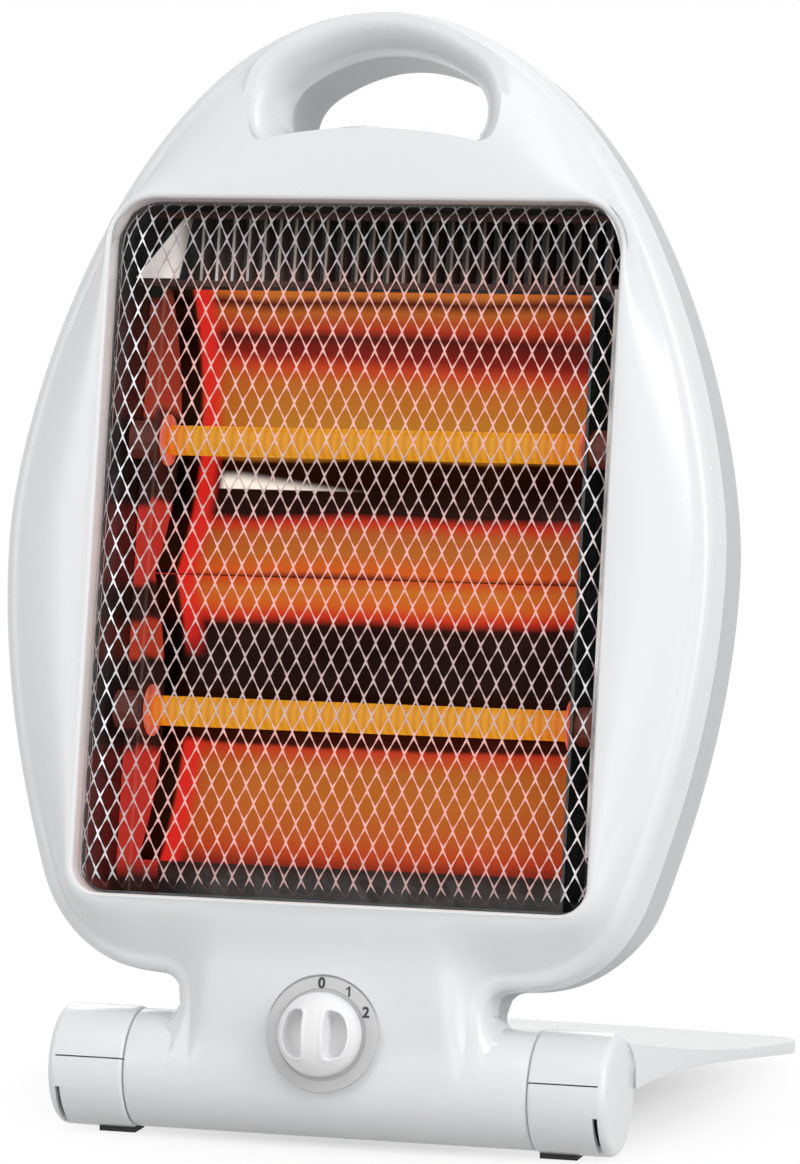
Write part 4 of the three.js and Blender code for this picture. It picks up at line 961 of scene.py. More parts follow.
def dial_ring():
    """The dial's plate: a softened outer edge and a low step inside the numbers."""
    bore, step = 5.2, DIAL_FRONT + 0.25
    profile = [(DIAL_BACK - 0.05, bore), (DIAL_BACK - 0.05, DIAL_R)]
    profile += [(DIAL_FRONT + 0.5, DIAL_R), (DIAL_FRONT + 0.15, DIAL_R - 0.15)]
    profile += [(DIAL_FRONT, DIAL_R - 0.5), (DIAL_FRONT, 14.4), (step, 14.1), (step, bore)]
    return turned("dial_plate", profile, 128, "y", (0, 0, DIAL_Z))


def numeral(text, bearing):
    """A plain printed number on the dial's face, upright at its bearing from the top."""
    piece = flagged_one() if text == "1" else round_number(text)
    angle = math.radians(bearing)
    x, z = NUMERAL_R * math.sin(angle), DIAL_Z + NUMERAL_R * math.cos(angle)
    spot = Matrix.Translation((x, DIAL_FRONT - PRINT_HALF, z))
    piece.data.transform(spot @ Matrix.Rotation(math.pi / 2, 4, "X"))
    return piece


def round_number(text):
    curve = bpy.data.curves.new("number_" + text, "FONT")
    curve.body = text
    curve.size = NUMERAL_HEIGHT
    curve.extrude = PRINT_HALF
    curve.offset = 0.15
    curve.align_x = "CENTER"
    curve.align_y = "CENTER"
    letter = new_object("number_" + text, curve)
    graph = bpy.context.evaluated_depsgraph_get()
    mesh = bpy.data.meshes.new_from_object(letter.evaluated_get(graph))
    drop(letter)
    return new_object("number_" + text, mesh)


def flagged_one():
    """A plain 1 with its flag."""
    outline = [(0.05, -1.6), (0.62, -1.6), (0.62, 1.6), (0.12, 1.6)]
    outline += [(-0.2, 1.15), (-0.72, 0.95), (-0.72, 0.5), (0.05, 0.72)]
    return prism("number_1", outline, "z", -PRINT_HALF, PRINT_HALF)


# ------------------------------------------------------------------ stand


def deck_line(lowered=0.0):
    """The deck's top from front to rear, seen from the side."""
    middle, end = (104, -7), (DECK_CORNER_Y, -14.8)
    line = bezier([(DECK_FRONT_Y, 15.6), middle, end], 40)
    line = [(y, z - lowered) for y, z in line]
    slope = (end[1] - middle[1]) / (end[0] - middle[0])
    line.append((DECK_REAR_Y, line[-1][1] + slope * (DECK_REAR_Y - DECK_CORNER_Y)))
    return line


def skirt_line():
    """The lower edge of the deck's sides."""
    line = bezier([(DECK_FRONT_Y, -1.2), (60, -0.2), (95, -7), (DECK_CORNER_Y, -19.3)], 40)
    return line + [(DECK_REAR_Y, -19.3)]


def stand_plan(margin):
    """The stand seen from above: flaring sides, a round rear and a bay between the drums."""

    def half(y):
        return DRUM_OUTER + DECK_FLARE * (y - DECK_FRONT_Y) / (DECK_CORNER_Y - DECK_FRONT_Y)

    notch = DRUM_INNER + margin
    right = [(notch, DECK_FRONT_Y + margin / 2), (DRUM_OUTER - margin, DECK_FRONT_Y + margin / 2)]
    right.append((half(171) - margin, 171))
    corner = (half(DECK_CORNER_Y) - margin, 189 - margin)
    right += bezier([right[-1], corner, (half(DECK_CORNER_Y) - 12 - margin, 190.2 - margin)], 10)[1:]
    right += bezier([right[-1], (50, 200 - margin), (0, 200 - margin)], 20)[1:]
    left = [(-x, y) for x, y in reversed(right[:-1])]
    front = 50 + margin
    bay = list(arc(-notch + 12, front - 12, 12, 180, 90, 8))
    bay += list(arc(notch - 12, front - 12, 12, 90, 0, 8))
    return right + left + bay


def deck():
    """A flaring plate with a skirt, hollow below, and cut free of the drums' insides."""
    outline = deck_line() + list(reversed(skirt_line()))
    full = prism("deck", outline, "x", -130, 130)
    carve(full, prism("plan", stand_plan(0), "z", -60, 60), "INTERSECT")
    under = deck_line(DECK_SHEET) + [(DECK_REAR_Y, -60), (0, -60)]
    hollow = prism("under", under, "x", -130, 130)
    carve(hollow, prism("room", stand_plan(3), "z", -61, 60), "INTERSECT")
    carve(full, hollow)
    close_up(full, 30)
    soften(full, 1.1, 3, 50)
    close_up(full, 40)
    for side in (1, -1):
        core = rod(side * (DRUM_OUTER + 1), side * (DRUM_INNER - 4), 17)
        carve(full, turned("inside", core, 48))
    close_up(full, 40)
    return full


def drum_wall(name, side, upper):
    """Half of a drum: the upper one belongs to the stand, the lower is its cover."""
    end = DRUM_OUTER - DRUM_EDGE if upper else COVER_OUTER
    section = [(DRUM_INNER, JOURNAL_R), (DRUM_INNER, DRUM_R - 1)]
    section += list(arc(DRUM_INNER + 1, DRUM_R - 1, 1, 180, 90, 4))[1:]
    section += [(end, DRUM_R), (end, DRUM_R - WALL)]
    section += [(DRUM_INNER + WALL, DRUM_R - WALL), (DRUM_INNER + WALL, JOURNAL_R)]
    gap = 0.012
    # The parting plane falls to the rear, so the upper half starts below the axis there.
    start = -DRUM_SPLIT + gap if upper else math.pi - DRUM_SPLIT + gap
    piece = turned(name, section, 56, start=start, sweep=math.pi - 2 * gap)
    if side < 0:
        piece.data.transform(Matrix.Scale(-1, 4, (1, 0, 0)))
        close_up(piece)
    return piece


def drum_end(side):
    """The full disc that closes a drum's outer end, with a rounded rim."""
    back = DRUM_OUTER - DRUM_EDGE - 0.1
    profile = [(back, 0), (back, DRUM_R)]
    profile += arc(DRUM_OUTER - DRUM_EDGE, DRUM_R - DRUM_EDGE, DRUM_EDGE, 90, 0, 8)
    profile += [(DRUM_OUTER, 0)]
    return turned("drum_end", [(side * along, r) for along, r in profile], 96)


def stand():
    parts = [deck()]
    ring = [(-19.3, 5.3), (-19.3, 6.6), (-15.5, 6.6), (-15.5, 5.3)]
    for side in (-1, 1):
        parts.append(drum_wall("drum_top", side, True))
        parts.append(drum_end(side))
        parts.append(turned("boss", ring, 32, "z", (side * REAR_BOSS[0], REAR_BOSS[1], 0)))
    return weld("stand_moulding", *parts)


def cover(side):
    """A drum's lower half, with the slit near its end and the pocket for its foot."""
    name = ("left" if side < 0 else "right") + "_drum_lower_cover"
    piece = drum_wall(name, side, False)
    near, far = sorted((side * (COVER_OUTER + 1), side * (COVER_OUTER - 1.8)))
    carve(piece, block("slit", near, far, -30, -9, -17, -4))
    middle = side * FOOT_X
    carve(piece, block("pocket", middle - 6.3, middle + 6.3, -4.8, 4.8, -30, -18.1))
    close_up(piece, 38)
    return piece


# ------------------------------------------------------------------ finishes


def start_finish(name):
    """A new material, its shader, and the piece's own coordinates."""
    material = bpy.data.materials.new(name)
    material.use_nodes = True
    shader = material.node_tree.nodes["Principled BSDF"]
    coordinates = material.node_tree.nodes.new("ShaderNodeTexCoord")
    return material, shader, coordinates.outputs["Object"]


def noise(place, scale, detail=3.0, stretch=None):
    """A soft uneven pattern; stretch draws it out along an axis."""
    if stretch:
        mapping = add(place, "ShaderNodeMapping")
        fill(mapping, {"Scale": stretch, "Vector": place})
        place = mapping.outputs[0]
    node = add(place, "ShaderNodeTexNoise")
    fill(node, {"Scale": scale, "Detail": detail, "Vector": place})
    return node.outputs["Fac"]


def ramp(factor, stops, smooth=False):
    """Colours, or greys given as one number, at places between 0 and 1."""
    node = add(factor, "ShaderNodeValToRGB")
    node.color_ramp.interpolation = "EASE" if smooth else "LINEAR"
    elements = node.color_ramp.elements
    while len(elements) < len(stops):
        elements.new(0.5)
    for element, (at, colour) in zip(elements, stops):
        element.position = at
        element.color = (*colour, 1) if isinstance(colour, tuple) else (colour, colour, colour, 1)
    feed(node.inputs["Fac"], factor)
    return node.outputs["Color"]


def number_range(value, low, high, to_low=0, to_high=1):
    node = add(value, "ShaderNodeMapRange")
    fill(node, {"From Min": low, "From Max": high, "To Min": to_low, "To Max": to_high})
    feed(node.inputs["Value"], value)
    return node.outputs[0]


def ramp_over(value, span, stops):
    """A ramp laid between two places on the piece."""
    return ramp(number_range(value, *span), stops)


def blend(factor, a, b, way="MIX"):
    """Two colours mixed; the first is another node's output."""
    node = add(a, "ShaderNodeMix", data_type="RGBA", blend_type=way)
    fill(node, {"Factor": factor, "A": a, "B": b})
    return node.outputs["Result"]


def multiply(a, b):
    return blend(1.0, a, b, "MULTIPLY")


def relief(height, strength, distance):
    """Fine bumps from a pattern, for the shader's Normal; the distance is in metres."""
    node = add(height, "ShaderNodeBump")
    fill(node, {"Strength": strength, "Distance": distance, "Height": height})
    return node.outputs["Normal"]


def head_place(place):
    """Object coordinates turned into the head's own millimetres, and their X and Z."""
    node = add(place, "ShaderNodeMapping")
    shift = -(Matrix.Rotation(LEAN, 3, "X") @ HINGE)
    fill(node, {"Scale": (1000, 1000, 1000), "Rotation": (LEAN, 0, 0), "Location": shift})
    feed(node.inputs["Vector"], place)
    split = add(place, "ShaderNodeSeparateXYZ")
    feed(split.inputs[0], node.outputs[0])
    return node.outputs[0], split.outputs["X"], split.outputs["Z"]


def shaded(colour, share):
    return tuple(c * share for c in colour)


def moulded(name, colour, rough=0.24, grain=0.1, deeper=0.93, scuffs=0.5):
    """Moulded plastic: faint flow marks, fine grain and a few handling scuffs."""
    material, shader, place = start_finish(name)
    flow = noise(place, 9, 2, (1, 1, 0.35))
    body = ramp(flow, [(0.3, shaded(colour, deeper)), (0.72, colour)], True)
    worn = ramp(noise(place, 240, 2, (1, 3, 0.5)), [(0.4, 0.0), (0.9, scuffs)], True)
    rubbed = tuple(min(c * 1.05, 0.9) for c in colour)
    gloss = number_range(noise(place, 260, 2), 0.1, 0.9, rough - 0.01, rough + 0.02)
    fine = relief(noise(place, 1600, 1), grain, 0.0001)
    fill(shader, {"Base Color": blend(worn, body, rubbed), "Roughness": gloss, "Normal": fine})
    return material


def metal(name, colour, rough=0.3, brush=(1, 40, 40), bump=0.15, patch=0.85):
    """Sheet or turned metal with a drawn grain and dull patches."""
    material, shader, place = start_finish(name)
    grain = noise(place, 40, 4, brush)
    spots = ramp(noise(place, 55, 5), [(0.35, shaded(colour, patch)), (0.68, colour)])
    gloss = number_range(grain, 0.25, 0.75, rough - 0.08, rough + 0.12)
    fill(shader, {"Metallic": 1, "Base Color": spots, "Roughness": gloss})
    feed(shader.inputs["Normal"], relief(grain, bump, 0.0002))
    return material


def galvanised(name, colour, rough=0.38):
    """Zinc-coated sheet: crystal spangles of slightly different greys, sooty in places."""
    material, shader, place = start_finish(name)
    cells = add(place, "ShaderNodeTexVoronoi")
    fill(cells, {"Scale": 170, "Vector": place})
    greys = add(place, "ShaderNodeSeparateColor")
    feed(greys.inputs[0], cells.outputs["Color"])
    first, second = greys.outputs[0], greys.outputs[1]
    tone = ramp(first, [(0.0, shaded(colour, 0.6)), (1.0, colour)])
    soot = ramp(noise(place, 30, 5), [(0.5, 0.0), (0.8, 0.5)])
    gloss = number_range(second, 0, 1, rough - 0.1, rough + 0.14)
    sooty = blend(soot, tone, (0.05, 0.045, 0.04))
    fill(shader, {"Metallic": 0.45, "Base Color": sooty, "Roughness": gloss})
    feed(shader.inputs["Normal"], relief(first, 0.08, 0.0003))
    return material


def guard_finish():
    """Bright nickel wire that catches the tubes' glow at their heights."""
    material, shader, place = start_finish("bright_guard_wire")
    spots = noise(place, 420, 3)
    _, x, z = head_place(place)
    wire = ramp(spots, [(0.3, (0.5, 0.52, 0.55)), (0.7, (0.7, 0.72, 0.75))])
    # Painted light and shade on the wire: lighter on the net's bent side edges, a pinkish grey
    # across the middle.
    dull = (0.5, 0.45, 0.44)
    painted_side_light = ramp_over(x, WINDOW_SPAN, [(0.05, 1.0), (0.11, dull), (0.91, dull), (0.96, 0.95)])
    heights = [
        (0.0, (0.03, 0.02, 0.02)),
        (0.08, (1.0, 0.24, 0.16)),
        (0.22, (1.0, 0.26, 0.17)),
        (0.27, (0.5, 0.22, 0.18)),
        (0.37, (0.4, 0.2, 0.17)),
        (0.42, (1.0, 0.26, 0.18)),
        (0.52, (1.0, 0.26, 0.18)),
        (0.57, (0.45, 0.2, 0.17)),
        (0.63, (0.45, 0.2, 0.17)),
        (0.67, (1.0, 0.3, 0.19)),
        (0.86, (0.9, 0.25, 0.17)),
        (0.92, (0.1, 0.08, 0.08)),
    ]
    sides = [(0.04, 0.0), (0.1, 0.22), (0.16, 0.8), (0.3, 1.0), (0.9, 1.0), (0.95, 0.3), (1.0, 0.1)]
    # The tubes' red glow on the wire is painted on as emission, by height and fading at the sides.
    glow = ramp_over(z, (WINDOW_LOW, WINDOW_HIGH), heights)
    glow = multiply(glow, ramp_over(x, WINDOW_SPAN, sides))
    gloss = number_range(spots, 0.3, 0.7, 0.26, 0.42)
    fill(shader, {"Metallic": 0.55, "Base Color": multiply(wire, painted_side_light), "Roughness": gloss})
    fill(shader, {"Emission Color": glow, "Emission Strength": 0.55})
    feed(shader.inputs["Normal"], relief(spots, 0.2, 0.0002))
    return material


def trough_finish(name, middle, bands, highlight=None):
    """A polished trough that throws back the tubes' glow in bands along its curve."""
    material, shader, place = start_finish(name)
    low, high = middle - TROUGH_GLOW_HALF, middle + TROUGH_GLOW_HALF
    millimetres, x, z = head_place(place)
    wander = noise(millimetres, 0.02, 2, (1, 0.1, 0.4))
    level = calculate("ADD", z, number_range(wander, 0.2, 0.8, -1.6, 1.6))
    if highlight:
        level = climbing(level, x, z)
    # The tubes' glow is painted on as emission, in bands by height.
    stops = [((at - low) / (high - low), colour) for at, colour in bands]
    glow = ramp_over(level, (low, high), stops)
    # The painted glow fades almost to black at the left end and dims at the right end.
    dark = (0.02, 0.02, 0.03)
    ends = [(0.0, dark), (0.054, dark), (0.066, (0.85, 0.4, 0.35)), (0.13, (0.95, 0.75, 0.7))]
    ends += [(0.24, 1.0), (0.8, 1.0), (1.0, (0.72, 0.5, 0.45))]
    lit = multiply(glow, ramp_over(x, TROUGH_SPAN, ends))
    # A painted red reflection strip near the left end, broken at some heights on the lower trough.
    edge = [(0.054, 0.0), (0.064, 1.0), (0.09, 0.9), (0.112, 0.0)]
    strip = ramp_over(x, TROUGH_SPAN, edge)
    if not highlight:
        broken = [(0.0, 1.0), (0.42, 1.0), (0.45, 0.0), (0.72, 0.0), (0.8, 0.8), (1.0, 1.0)]
        strip = multiply(strip, ramp_over(z, (low, high), broken))
    lit = blend(strip, lit, (0.66, 0.018, 0.012))
    if highlight:
        lit = blend(white_wedge(x, z, highlight), lit, (1.0, 0.88, 0.76))
    # The trough's near-black base colour is painted dark reflection, so only the painted glow shows
    # on the polished metal; the noise adds faint stains.
    stain_and_dark_base = ramp(noise(place, 70, 4), [(0.3, (0.006, 0.004, 0.004)), (0.7, (0.016, 0.01, 0.009))])
    grain = noise(place, 30, 3, (1, 60, 60))
    gloss = number_range(grain, 0.2, 0.8, 0.12, 0.28)
    fill(shader, {"Metallic": 1, "Base Color": stain_and_dark_base, "Roughness": gloss})
    fill(shader, {"Emission Color": lit, "Emission Strength": 1})
    feed(shader.inputs["Normal"], relief(grain, 0.1, 0.0002))
    return material


def climbing(level, x, z):
    """The upper trough's bands rise a little from right to left, most in its upper half."""
    climb = number_range(x, -70, 70, -5.5, 0.5)
    where = ramp_over(z, (190, 240), [(0.16, 0.0), (0.5, 1.0), (0.86, 1.0), (0.97, 0.0)])
    return calculate("MULTIPLY_ADD", climb, where, level)


def white_wedge(x, z, highlight):
    """How white the trough is: full low at the highlight's left end, thinning to the right."""
    low_edge, high_edge, left_end, right_end = highlight
    under = number_range(z, low_edge, low_edge + 0.3)
    start = number_range(x, left_end, left_end + 2.0)
    thinning = number_range(x, left_end + 8, right_end, 0, 0.95)
    rise = number_range(z, low_edge, high_edge)
    wedge = ramp(calculate("ADD", thinning, rise), [(0.35, 1.0), (1.0, 0.0)], True)
    return multiply(wedge, multiply(under, start))


def tube_finish():
    """Frosted quartz lit from inside by its coil."""
    material, shader, place = start_finish("lit_quartz")
    millimetres, x, _ = head_place(place)
    clouds = ramp(noise(place, 90, 3), [(0.3, (0.02, 0.012, 0.006)), (0.7, (0.04, 0.02, 0.01))])
    wave = add(place, "ShaderNodeTexWave", bands_direction="X")
    fill(wave, {"Scale": 0.115, "Distortion": 0.6, "Vector": millimetres})
    turns = ramp(wave.outputs["Fac"], [(0.0, (0.6, 0.23, 0.01)), (1.0, (0.72, 0.3, 0.014))])
    ends = [(0.0, (0.9, 0.12, 0.06)), (0.05, (1.0, 0.5, 0.3)), (0.1, 1.0), (0.82, 1.0)]
    ends += [(0.95, (0.9, 0.55, 0.5)), (1.0, (0.8, 0.4, 0.4))]
    lit = multiply(turns, ramp_over(x, (-75, 75), ends))
    frost = noise(place, 300, 3)
    gloss = number_range(frost, 0.2, 0.8, 0.22, 0.4)
    fill(shader, {"Base Color": clouds, "Roughness": gloss, "Specular IOR Level": 0.25})
    fill(shader, {"Emission Color": lit, "Emission Strength": 1})
    feed(shader.inputs["Normal"], relief(frost, 0.1, 0.0002))
    return material


def fin_finish():
    """Bright folded fins, sooty in patches: painted light at the left end, painted shade towards the
    right and towards their tops.
    """
    material, shader, place = start_finish("bright_fins")
    millimetres, x, z = head_place(place)
    soot = noise(millimetres, 0.16, 3, (1, 1, 0.4))
    bare = ramp(soot, [(0.3, (0.3, 0.24, 0.22)), (0.7, (0.62, 0.56, 0.52))])
    across = [(0.0, 1.0), (0.2, 1.0), (0.5, (0.5, 0.42, 0.38)), (0.75, (0.26, 0.2, 0.18))]
    across.append((1.0, (0.2, 0.15, 0.14)))
    foot = ramp_over(z, (253, 272), [(0.0, 1.0), (0.4, 0.75), (1.0, 0.35)])
    shade = multiply(ramp_over(x, WINDOW_SPAN, across), foot)
    # A painted white highlight, given as emission, at the plate's left end.
    corner = ramp_over(x, WINDOW_SPAN, [(0.0, 1.0), (0.085, 1.0), (0.11, 0.0)])
    gloss = number_range(soot, 0.2, 0.8, 0.22, 0.45)
    fill(shader, {"Metallic": 0.7, "Base Color": multiply(bare, shade), "Roughness": gloss})
    feed(shader.inputs["Emission Color"], multiply(corner, (1.0, 0.95, 0.93)))
    feed(shader.inputs["Emission Strength"], 0.42)
    feed(shader.inputs["Normal"], relief(soot, 0.1, 0.0002))
    return material


def glowing(name, colour, strength):
    """Hot wire, or heat-stained metal with a painted glow, uneven in its glow."""
    material, shader, place = start_finish(name)
    spots = noise(place, 160, 3)
    glow = ramp(spots, [(0.3, shaded(colour, 0.55)), (0.7, colour)])
    cold = ramp(spots, [(0.3, (0.1, 0.07, 0.06)), (0.7, (0.25, 0.2, 0.17))])
    fill(shader, {"Base Color": cold, "Roughness": number_range(spots, 0.3, 0.7, 0.5, 0.7)})
    fill(shader, {"Emission Color": glow, "Emission Strength": strength})
    feed(shader.inputs["Normal"], relief(spots, 0.15, 0.0003))
    return material


def bracket_finish():
    """Heat-stained brackets that catch the tubes' red glow at some heights only."""
    material, shader, place = start_finish("heat_stained_bracket")
    stain_and_dark_base = noise(place, 120, 4)
    brown = ramp(stain_and_dark_base, [(0.3, (0.02, 0.014, 0.012)), (0.7, (0.07, 0.045, 0.04))])
    _, _, z = head_place(place)
    red, dim, painted_deep_red = (0.42, 0.022, 0.014), (0.016, 0.004, 0.003), (0.36, 0.03, 0.012)
    # These red stops are the tubes' glow, painted on as emission.
    lit = [(60, dim), (66, red), (100, red), (103, dim), (130, dim), (132, painted_deep_red), (142, painted_deep_red)]
    lit += [(144, dim), (154, dim), (156, red), (180, red), (182, dim), (209, dim)]
    lit += [(212, (0.3, 0.03, 0.015)), (246, (0.14, 0.02, 0.01)), (250, dim)]
    tall = WINDOW_HIGH - WINDOW_LOW
    stops = [((at - WINDOW_LOW) / tall, colour) for at, colour in lit]
    gloss = number_range(stain_and_dark_base, 0.3, 0.7, 0.35, 0.6)
    fill(shader, {"Metallic": 0.8, "Base Color": brown, "Roughness": gloss})
    feed(shader.inputs["Emission Color"], ramp_over(z, (WINDOW_LOW, WINDOW_HIGH), stops))
    feed(shader.inputs["Emission Strength"], 1)
    feed(shader.inputs["Normal"], relief(stain_and_dark_base, 0.2, 0.0003))
    return material


def ceramic():
    """Fired clay caps, reddened by a faint painted glow from the tubes."""
    material, shader, place = start_finish("steatite")
    spots = noise(place, 220, 4)
    clay = ramp(spots, [(0.3, (0.05, 0.02, 0.015)), (0.7, (0.1, 0.04, 0.03))])
    fill(shader, {"Base Color": clay, "Roughness": number_range(spots, 0.2, 0.8, 0.5, 0.7)})
    fill(shader, {"Emission Color": (0.05, 0.006, 0.003), "Emission Strength": 1})
    feed(shader.inputs["Normal"], relief(spots, 0.2, 0.0003))
    return material


def printed_black():
    material, shader, place = start_finish("printed_black")
    spots = noise(place, 900, 3)
    ink = ramp(spots, [(0.3, (0.012, 0.012, 0.014)), (0.75, (0.05, 0.05, 0.055))])
    fill(shader, {"Base Color": ink, "Roughness": number_range(spots, 0.2, 0.8, 0.35, 0.5)})
    feed(shader.inputs["Normal"], relief(spots, 0.1, 0.0001))
    return material


# ------------------------------------------------------------------ room


def turn_to(thing, at, towards):
    """Puts a lamp or a camera at a place and points it."""
    thing.location = at
    thing.rotation_euler = (towards - at).to_track_quat("-Z", "Y").to_euler()


def camera():
    data = bpy.data.cameras.new("camera")
    data.sensor_width = 36
    data.lens = LENS
    data.shift_x, data.shift_y = SHIFT
    data.clip_end = 20
    eye = new_object("camera", data)
    turn_to(eye, (HINGE + EYE) * 0.001, (HINGE + AIM) * 0.001)
    bpy.context.scene.camera = eye


def lamp(name, at, aim_height, width, power):
    data = bpy.data.lights.new(name, "AREA")
    data.shape = "DISK"
    data.size = width
    data.energy = power
    turn_to(new_object(name, data), Vector(at), Vector((0, 0, aim_height)))


def seen_plain(tree):
    """1 where the camera, a reflection or glass looks, 0 for all other light."""
    rays = tree.nodes.new("ShaderNodeLightPath").outputs
    seen = calculate("MAXIMUM", rays["Is Camera Ray"], rays["Is Glossy Ray"])
    return calculate("MAXIMUM", seen, rays["Is Transmission Ray"])


def floor_finish():
    """A pale floor that keeps the shadow near the object and fades to white around it."""
    material, shader, place = start_finish("pale_floor")
    tree = material.node_tree
    seen = seen_plain(tree)
    tone = ramp(seen, [(0.0, 0.55), (1.0, 0.97)])
    mottle = ramp(noise(place, 3, 2), [(0.3, 0.99), (0.7, 1.0)])
    fill(shader, {"Base Color": multiply(tone, mottle), "Roughness": 0.9})
    feed(shader.inputs["Specular IOR Level"], 0.0)
    far = add(place, "ShaderNodeVectorMath", operation="LENGTH")
    feed(far.inputs[0], place)
    clear = number_range(far.outputs["Value"], 0.0, 0.14)
    plain = add(place, "ShaderNodeEmission")
    feed(plain.inputs["Color"], (1, 1, 1))
    mixed = add(place, "ShaderNodeMixShader")
    layers = (calculate("MULTIPLY", clear, seen), shader.outputs[0], plain.outputs[0])
    for socket, value in zip(mixed.inputs, layers):
        feed(socket, value)
    feed(tree.nodes["Material Output"].inputs["Surface"], mixed.outputs[0])
    return material


def room():
    scene = bpy.context.scene
    scene.view_settings.view_transform = "Standard"
    world = bpy.data.worlds.new("room")
    scene.world = world
    world.use_nodes = True
    background = world.node_tree.nodes["Background"]
    strength = number_range(seen_plain(world.node_tree), 0, 1, WORLD_LIGHT, 1.0)
    fill(background, {"Color": (1, 1, 1), "Strength": strength})
    floor = solid_piece("floor", [(-9, -9, 0), (9, -9, 0), (9, 9, 0), (-9, 9, 0)], [(0, 1, 2, 3)])
    floor.data.materials.append(floor_finish())
    floor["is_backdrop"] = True
    for name, settings in LAMPS.items():
        lamp(name, *settings)


# ------------------------------------------------------------------ build

# The glow's colour at heights up the window, where the troughs throw it back.
UPPER_BANDS = [
    (157.5, (0.16, 0.02, 0.01)),
    (159.5, (0.62, 0.1, 0.012)),
    (166, (0.45, 0.12, 0.018)),
    (172, (0.42, 0.1, 0.018)),
    (176, (0.5, 0.025, 0.01)),
    (179, (0.012, 0.002, 0.001)),
    (188, (0.006, 0.001, 0.001)),
    (196, (0.01, 0.002, 0.001)),
    (198, (0.42, 0.15, 0.016)),
    (206, (0.46, 0.17, 0.016)),
    (218, (0.46, 0.12, 0.016)),
    (223, (0.5, 0.05, 0.014)),
    (227, (0.2, 0.01, 0.006)),
    (234, (0.07, 0.006, 0.004)),
    (238, (0.38, 0.03, 0.01)),
    (243, (0.42, 0.1, 0.016)),
    (246, (0.06, 0.006, 0.004)),
    (248.4, (0.5, 0.13, 0.02)),
]
LOWER_BANDS = [
    (65.5, (0.2, 0.015, 0.006)),
    (70, (0.45, 0.05, 0.012)),
    (76, (0.46, 0.09, 0.016)),
    (88, (0.46, 0.12, 0.016)),
    (97, (0.44, 0.12, 0.016)),
    (103.8, (0.5, 0.04, 0.012)),
    (105.2, (0.03, 0.003, 0.002)),
    (116, (0.006, 0.001, 0.001)),
    (134, (0.006, 0.001, 0.001)),
    (143, (0.012, 0.002, 0.001)),
    (146, (0.55, 0.03, 0.01)),
    (149.5, (0.6, 0.11, 0.014)),
    (154, (0.55, 0.15, 0.018)),
    (157.2, (0.55, 0.07, 0.012)),
]
# Where the white highlight lies on the upper trough: its height range and its two ends.
HIGHLIGHT = (186.8, 193.2, -55.5, -4)


def heating_unit(zinc):
    """Everything behind the window: guard, troughs, tubes and coils."""
    net = guard_finish()
    folded = metal("folded_selvage", (0.7, 0.68, 0.66), 0.5, (40, 40, 400), 0.9, 0.35)
    settle(guard(net), HEAD, "head", "wire", net, zinc, folded, stands_for=("guard_mesh",))
    quartz = tube_finish()
    # The tube lips' red glow is painted on as emission.
    lip = glowing("lip_painted_glow", (0.62, 0.06, 0.02), 1.0)
    wire = glowing("hot_wire", (1.0, 0.5, 0.12), 1.6)
    upper = trough_finish("upper_trough_glow", TROUGH_Z[0], UPPER_BANDS, HIGHLIGHT)
    lower = trough_finish("lower_trough_glow", TROUGH_Z[1], LOWER_BANDS)
    for index, (name, glow) in enumerate((("upper", upper), ("lower", lower))):
        piece = trough(name + "_trough", index)
        settle(piece, HEAD, "head", "polished", glow, stands_for=(name + "_reflector",))
        piece = tube(name + "_tube", TUBE_Z[index])
        settle(piece, HEAD, "head", "quartz", quartz, lip, stands_for=(name + "_quartz_tube",))
        piece = coil(name + "_winding", TUBE_Z[index])
        settle(piece, HEAD, "head", "coil", wire, stands_for=(name + "_heating_coil",))


def dial_and_knob(cap):
    plate = moulded("dial_grey", (0.56, 0.56, 0.565), 0.4, 0.04, 0.985, 0.05)
    # The recess floors' darker grey is painted shade.
    painted_shade_floor = moulded("knob_recess_painted_shade", (0.72, 0.72, 0.725), 0.45, 0.05, 0.98, 0.05)
    settle(dial_ring(), HEAD, "head", "grey", plate, stands_for=("dial_ring",))
    settle(knob(), HEAD, "knob", "shell", cap, painted_shade_floor, stands_for=("knob",))
    black = printed_black()
    for text, bearing in (("0", -3), ("1", 30), ("2", 62)):
        settle(numeral(text, bearing), HEAD, "head", "dark", black)


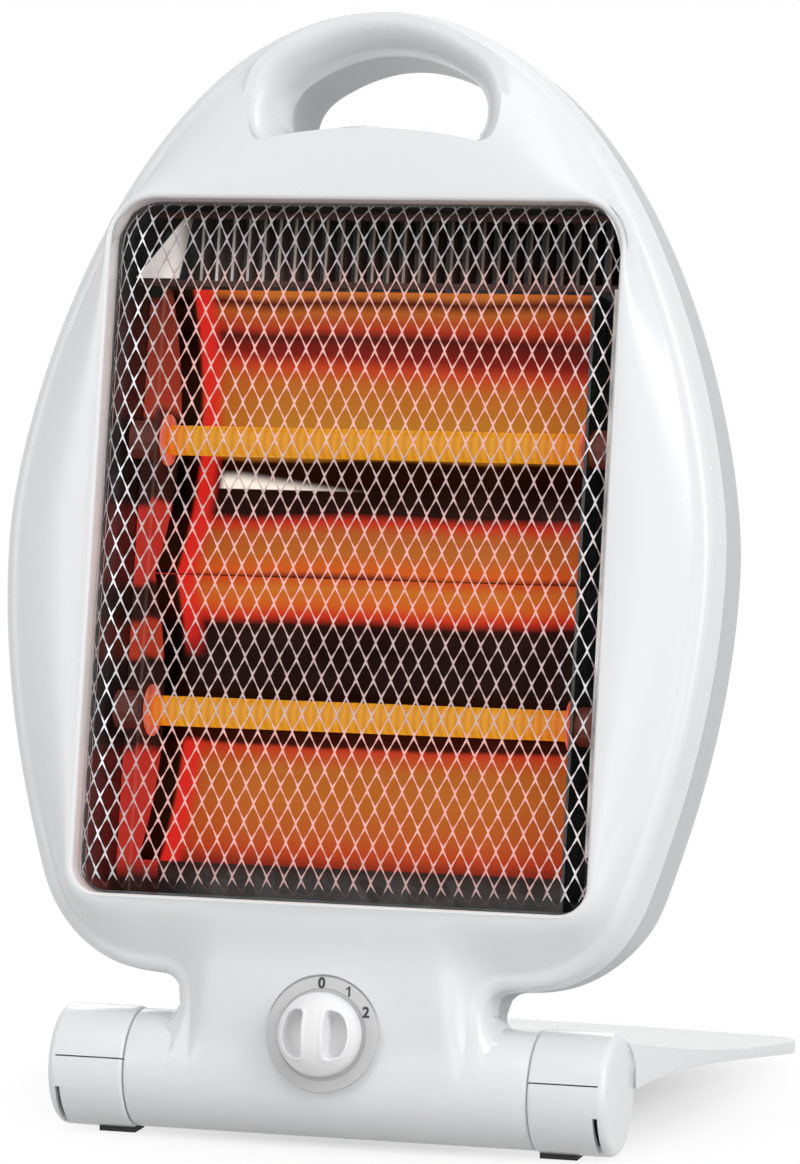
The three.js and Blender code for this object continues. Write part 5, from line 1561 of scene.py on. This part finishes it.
def packed_solids(zinc, glow_painted_plate, cap):
    """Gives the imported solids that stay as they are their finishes."""
    steel = metal("turned_steel", (0.55, 0.54, 0.52), 0.34)
    dark_plastic = moulded("dark_moulding", (0.05, 0.05, 0.055), 0.4, 0.2, 0.7)
    rubber = moulded("foot_rubber", (0.03, 0.03, 0.032), 0.75, 0.5, 0.6, 0.3)
    stone = ceramic()
    finishes = {
        "heater_case": zinc,
        "left_end_plate": glow_painted_plate,
        "right_end_plate": zinc,
        "thermal_cutout": steel,
        "terminal_block": dark_plastic,
        "cord_gland": dark_plastic,
        "rotary_switch": dark_plastic,
        "tip_switch_box": dark_plastic,
        "pendulum_pin": steel,
        "tip_pendulum": metal("brass", (0.62, 0.45, 0.2), 0.3),
        "switch_shaft": cap,
    }
    for name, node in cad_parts.items():
        finish = finishes.get(name)
        if name.endswith("end_cap"):
            finish = stone
        elif name.endswith("foot"):
            finish = rubber
        elif name.endswith(("journal", "washer", "nut")):
            finish = steel if "friction" not in name else dark_plastic
        if finish:
            for slot in node.material_slots:
                slot.material = finish


def main():
    white = moulded("gloss_white_moulding", (0.77, 0.775, 0.785), 0.26, 0.05, 0.985, 0.08)
    grey = moulded("rear_grey_moulding", (0.5, 0.51, 0.52), 0.34, 0.12, 0.95, 0.15)
    cap = moulded("knob_white", (0.84, 0.84, 0.85), 0.2, 0.03, 0.99, 0.05)
    # The zinc's very dark grey is partly painted shade of the case's inside; the soot patches on it
    # are dirt.
    zinc = galvanised("zinc_sheet", (0.085, 0.095, 0.095))
    # The brackets' finish paints the tubes' red glow on as emission.
    glow_painted_plate = bracket_finish()
    bright = fin_finish()

    settle(front_shell(), HEAD, "head", "shell", white, stands_for=("front_shell",))
    settle(rear_shell(), HEAD, "head", "grey", grey, stands_for=("rear_shell",))
    heating_unit(zinc)
    plate = top_plate(bright)
    settle(plate, HEAD, "head", "polished", bright, glow_painted_plate, stands_for=("top_baffle",))
    dial_and_knob(cap)
    settle(stand(), STAND, "stand", "shell", white, stands_for=("stand_frame",))
    for side, node in ((-1, "left_drum_cover"), (1, "right_drum_cover")):
        settle(cover(side), STAND, "stand", "shell", white, stands_for=(node,))
    packed_solids(zinc, glow_painted_plate, cap)
    camera()
    room()


main()
visual_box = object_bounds()
[[list(corner) for corner in box] for box in (cad_box, visual_box)]
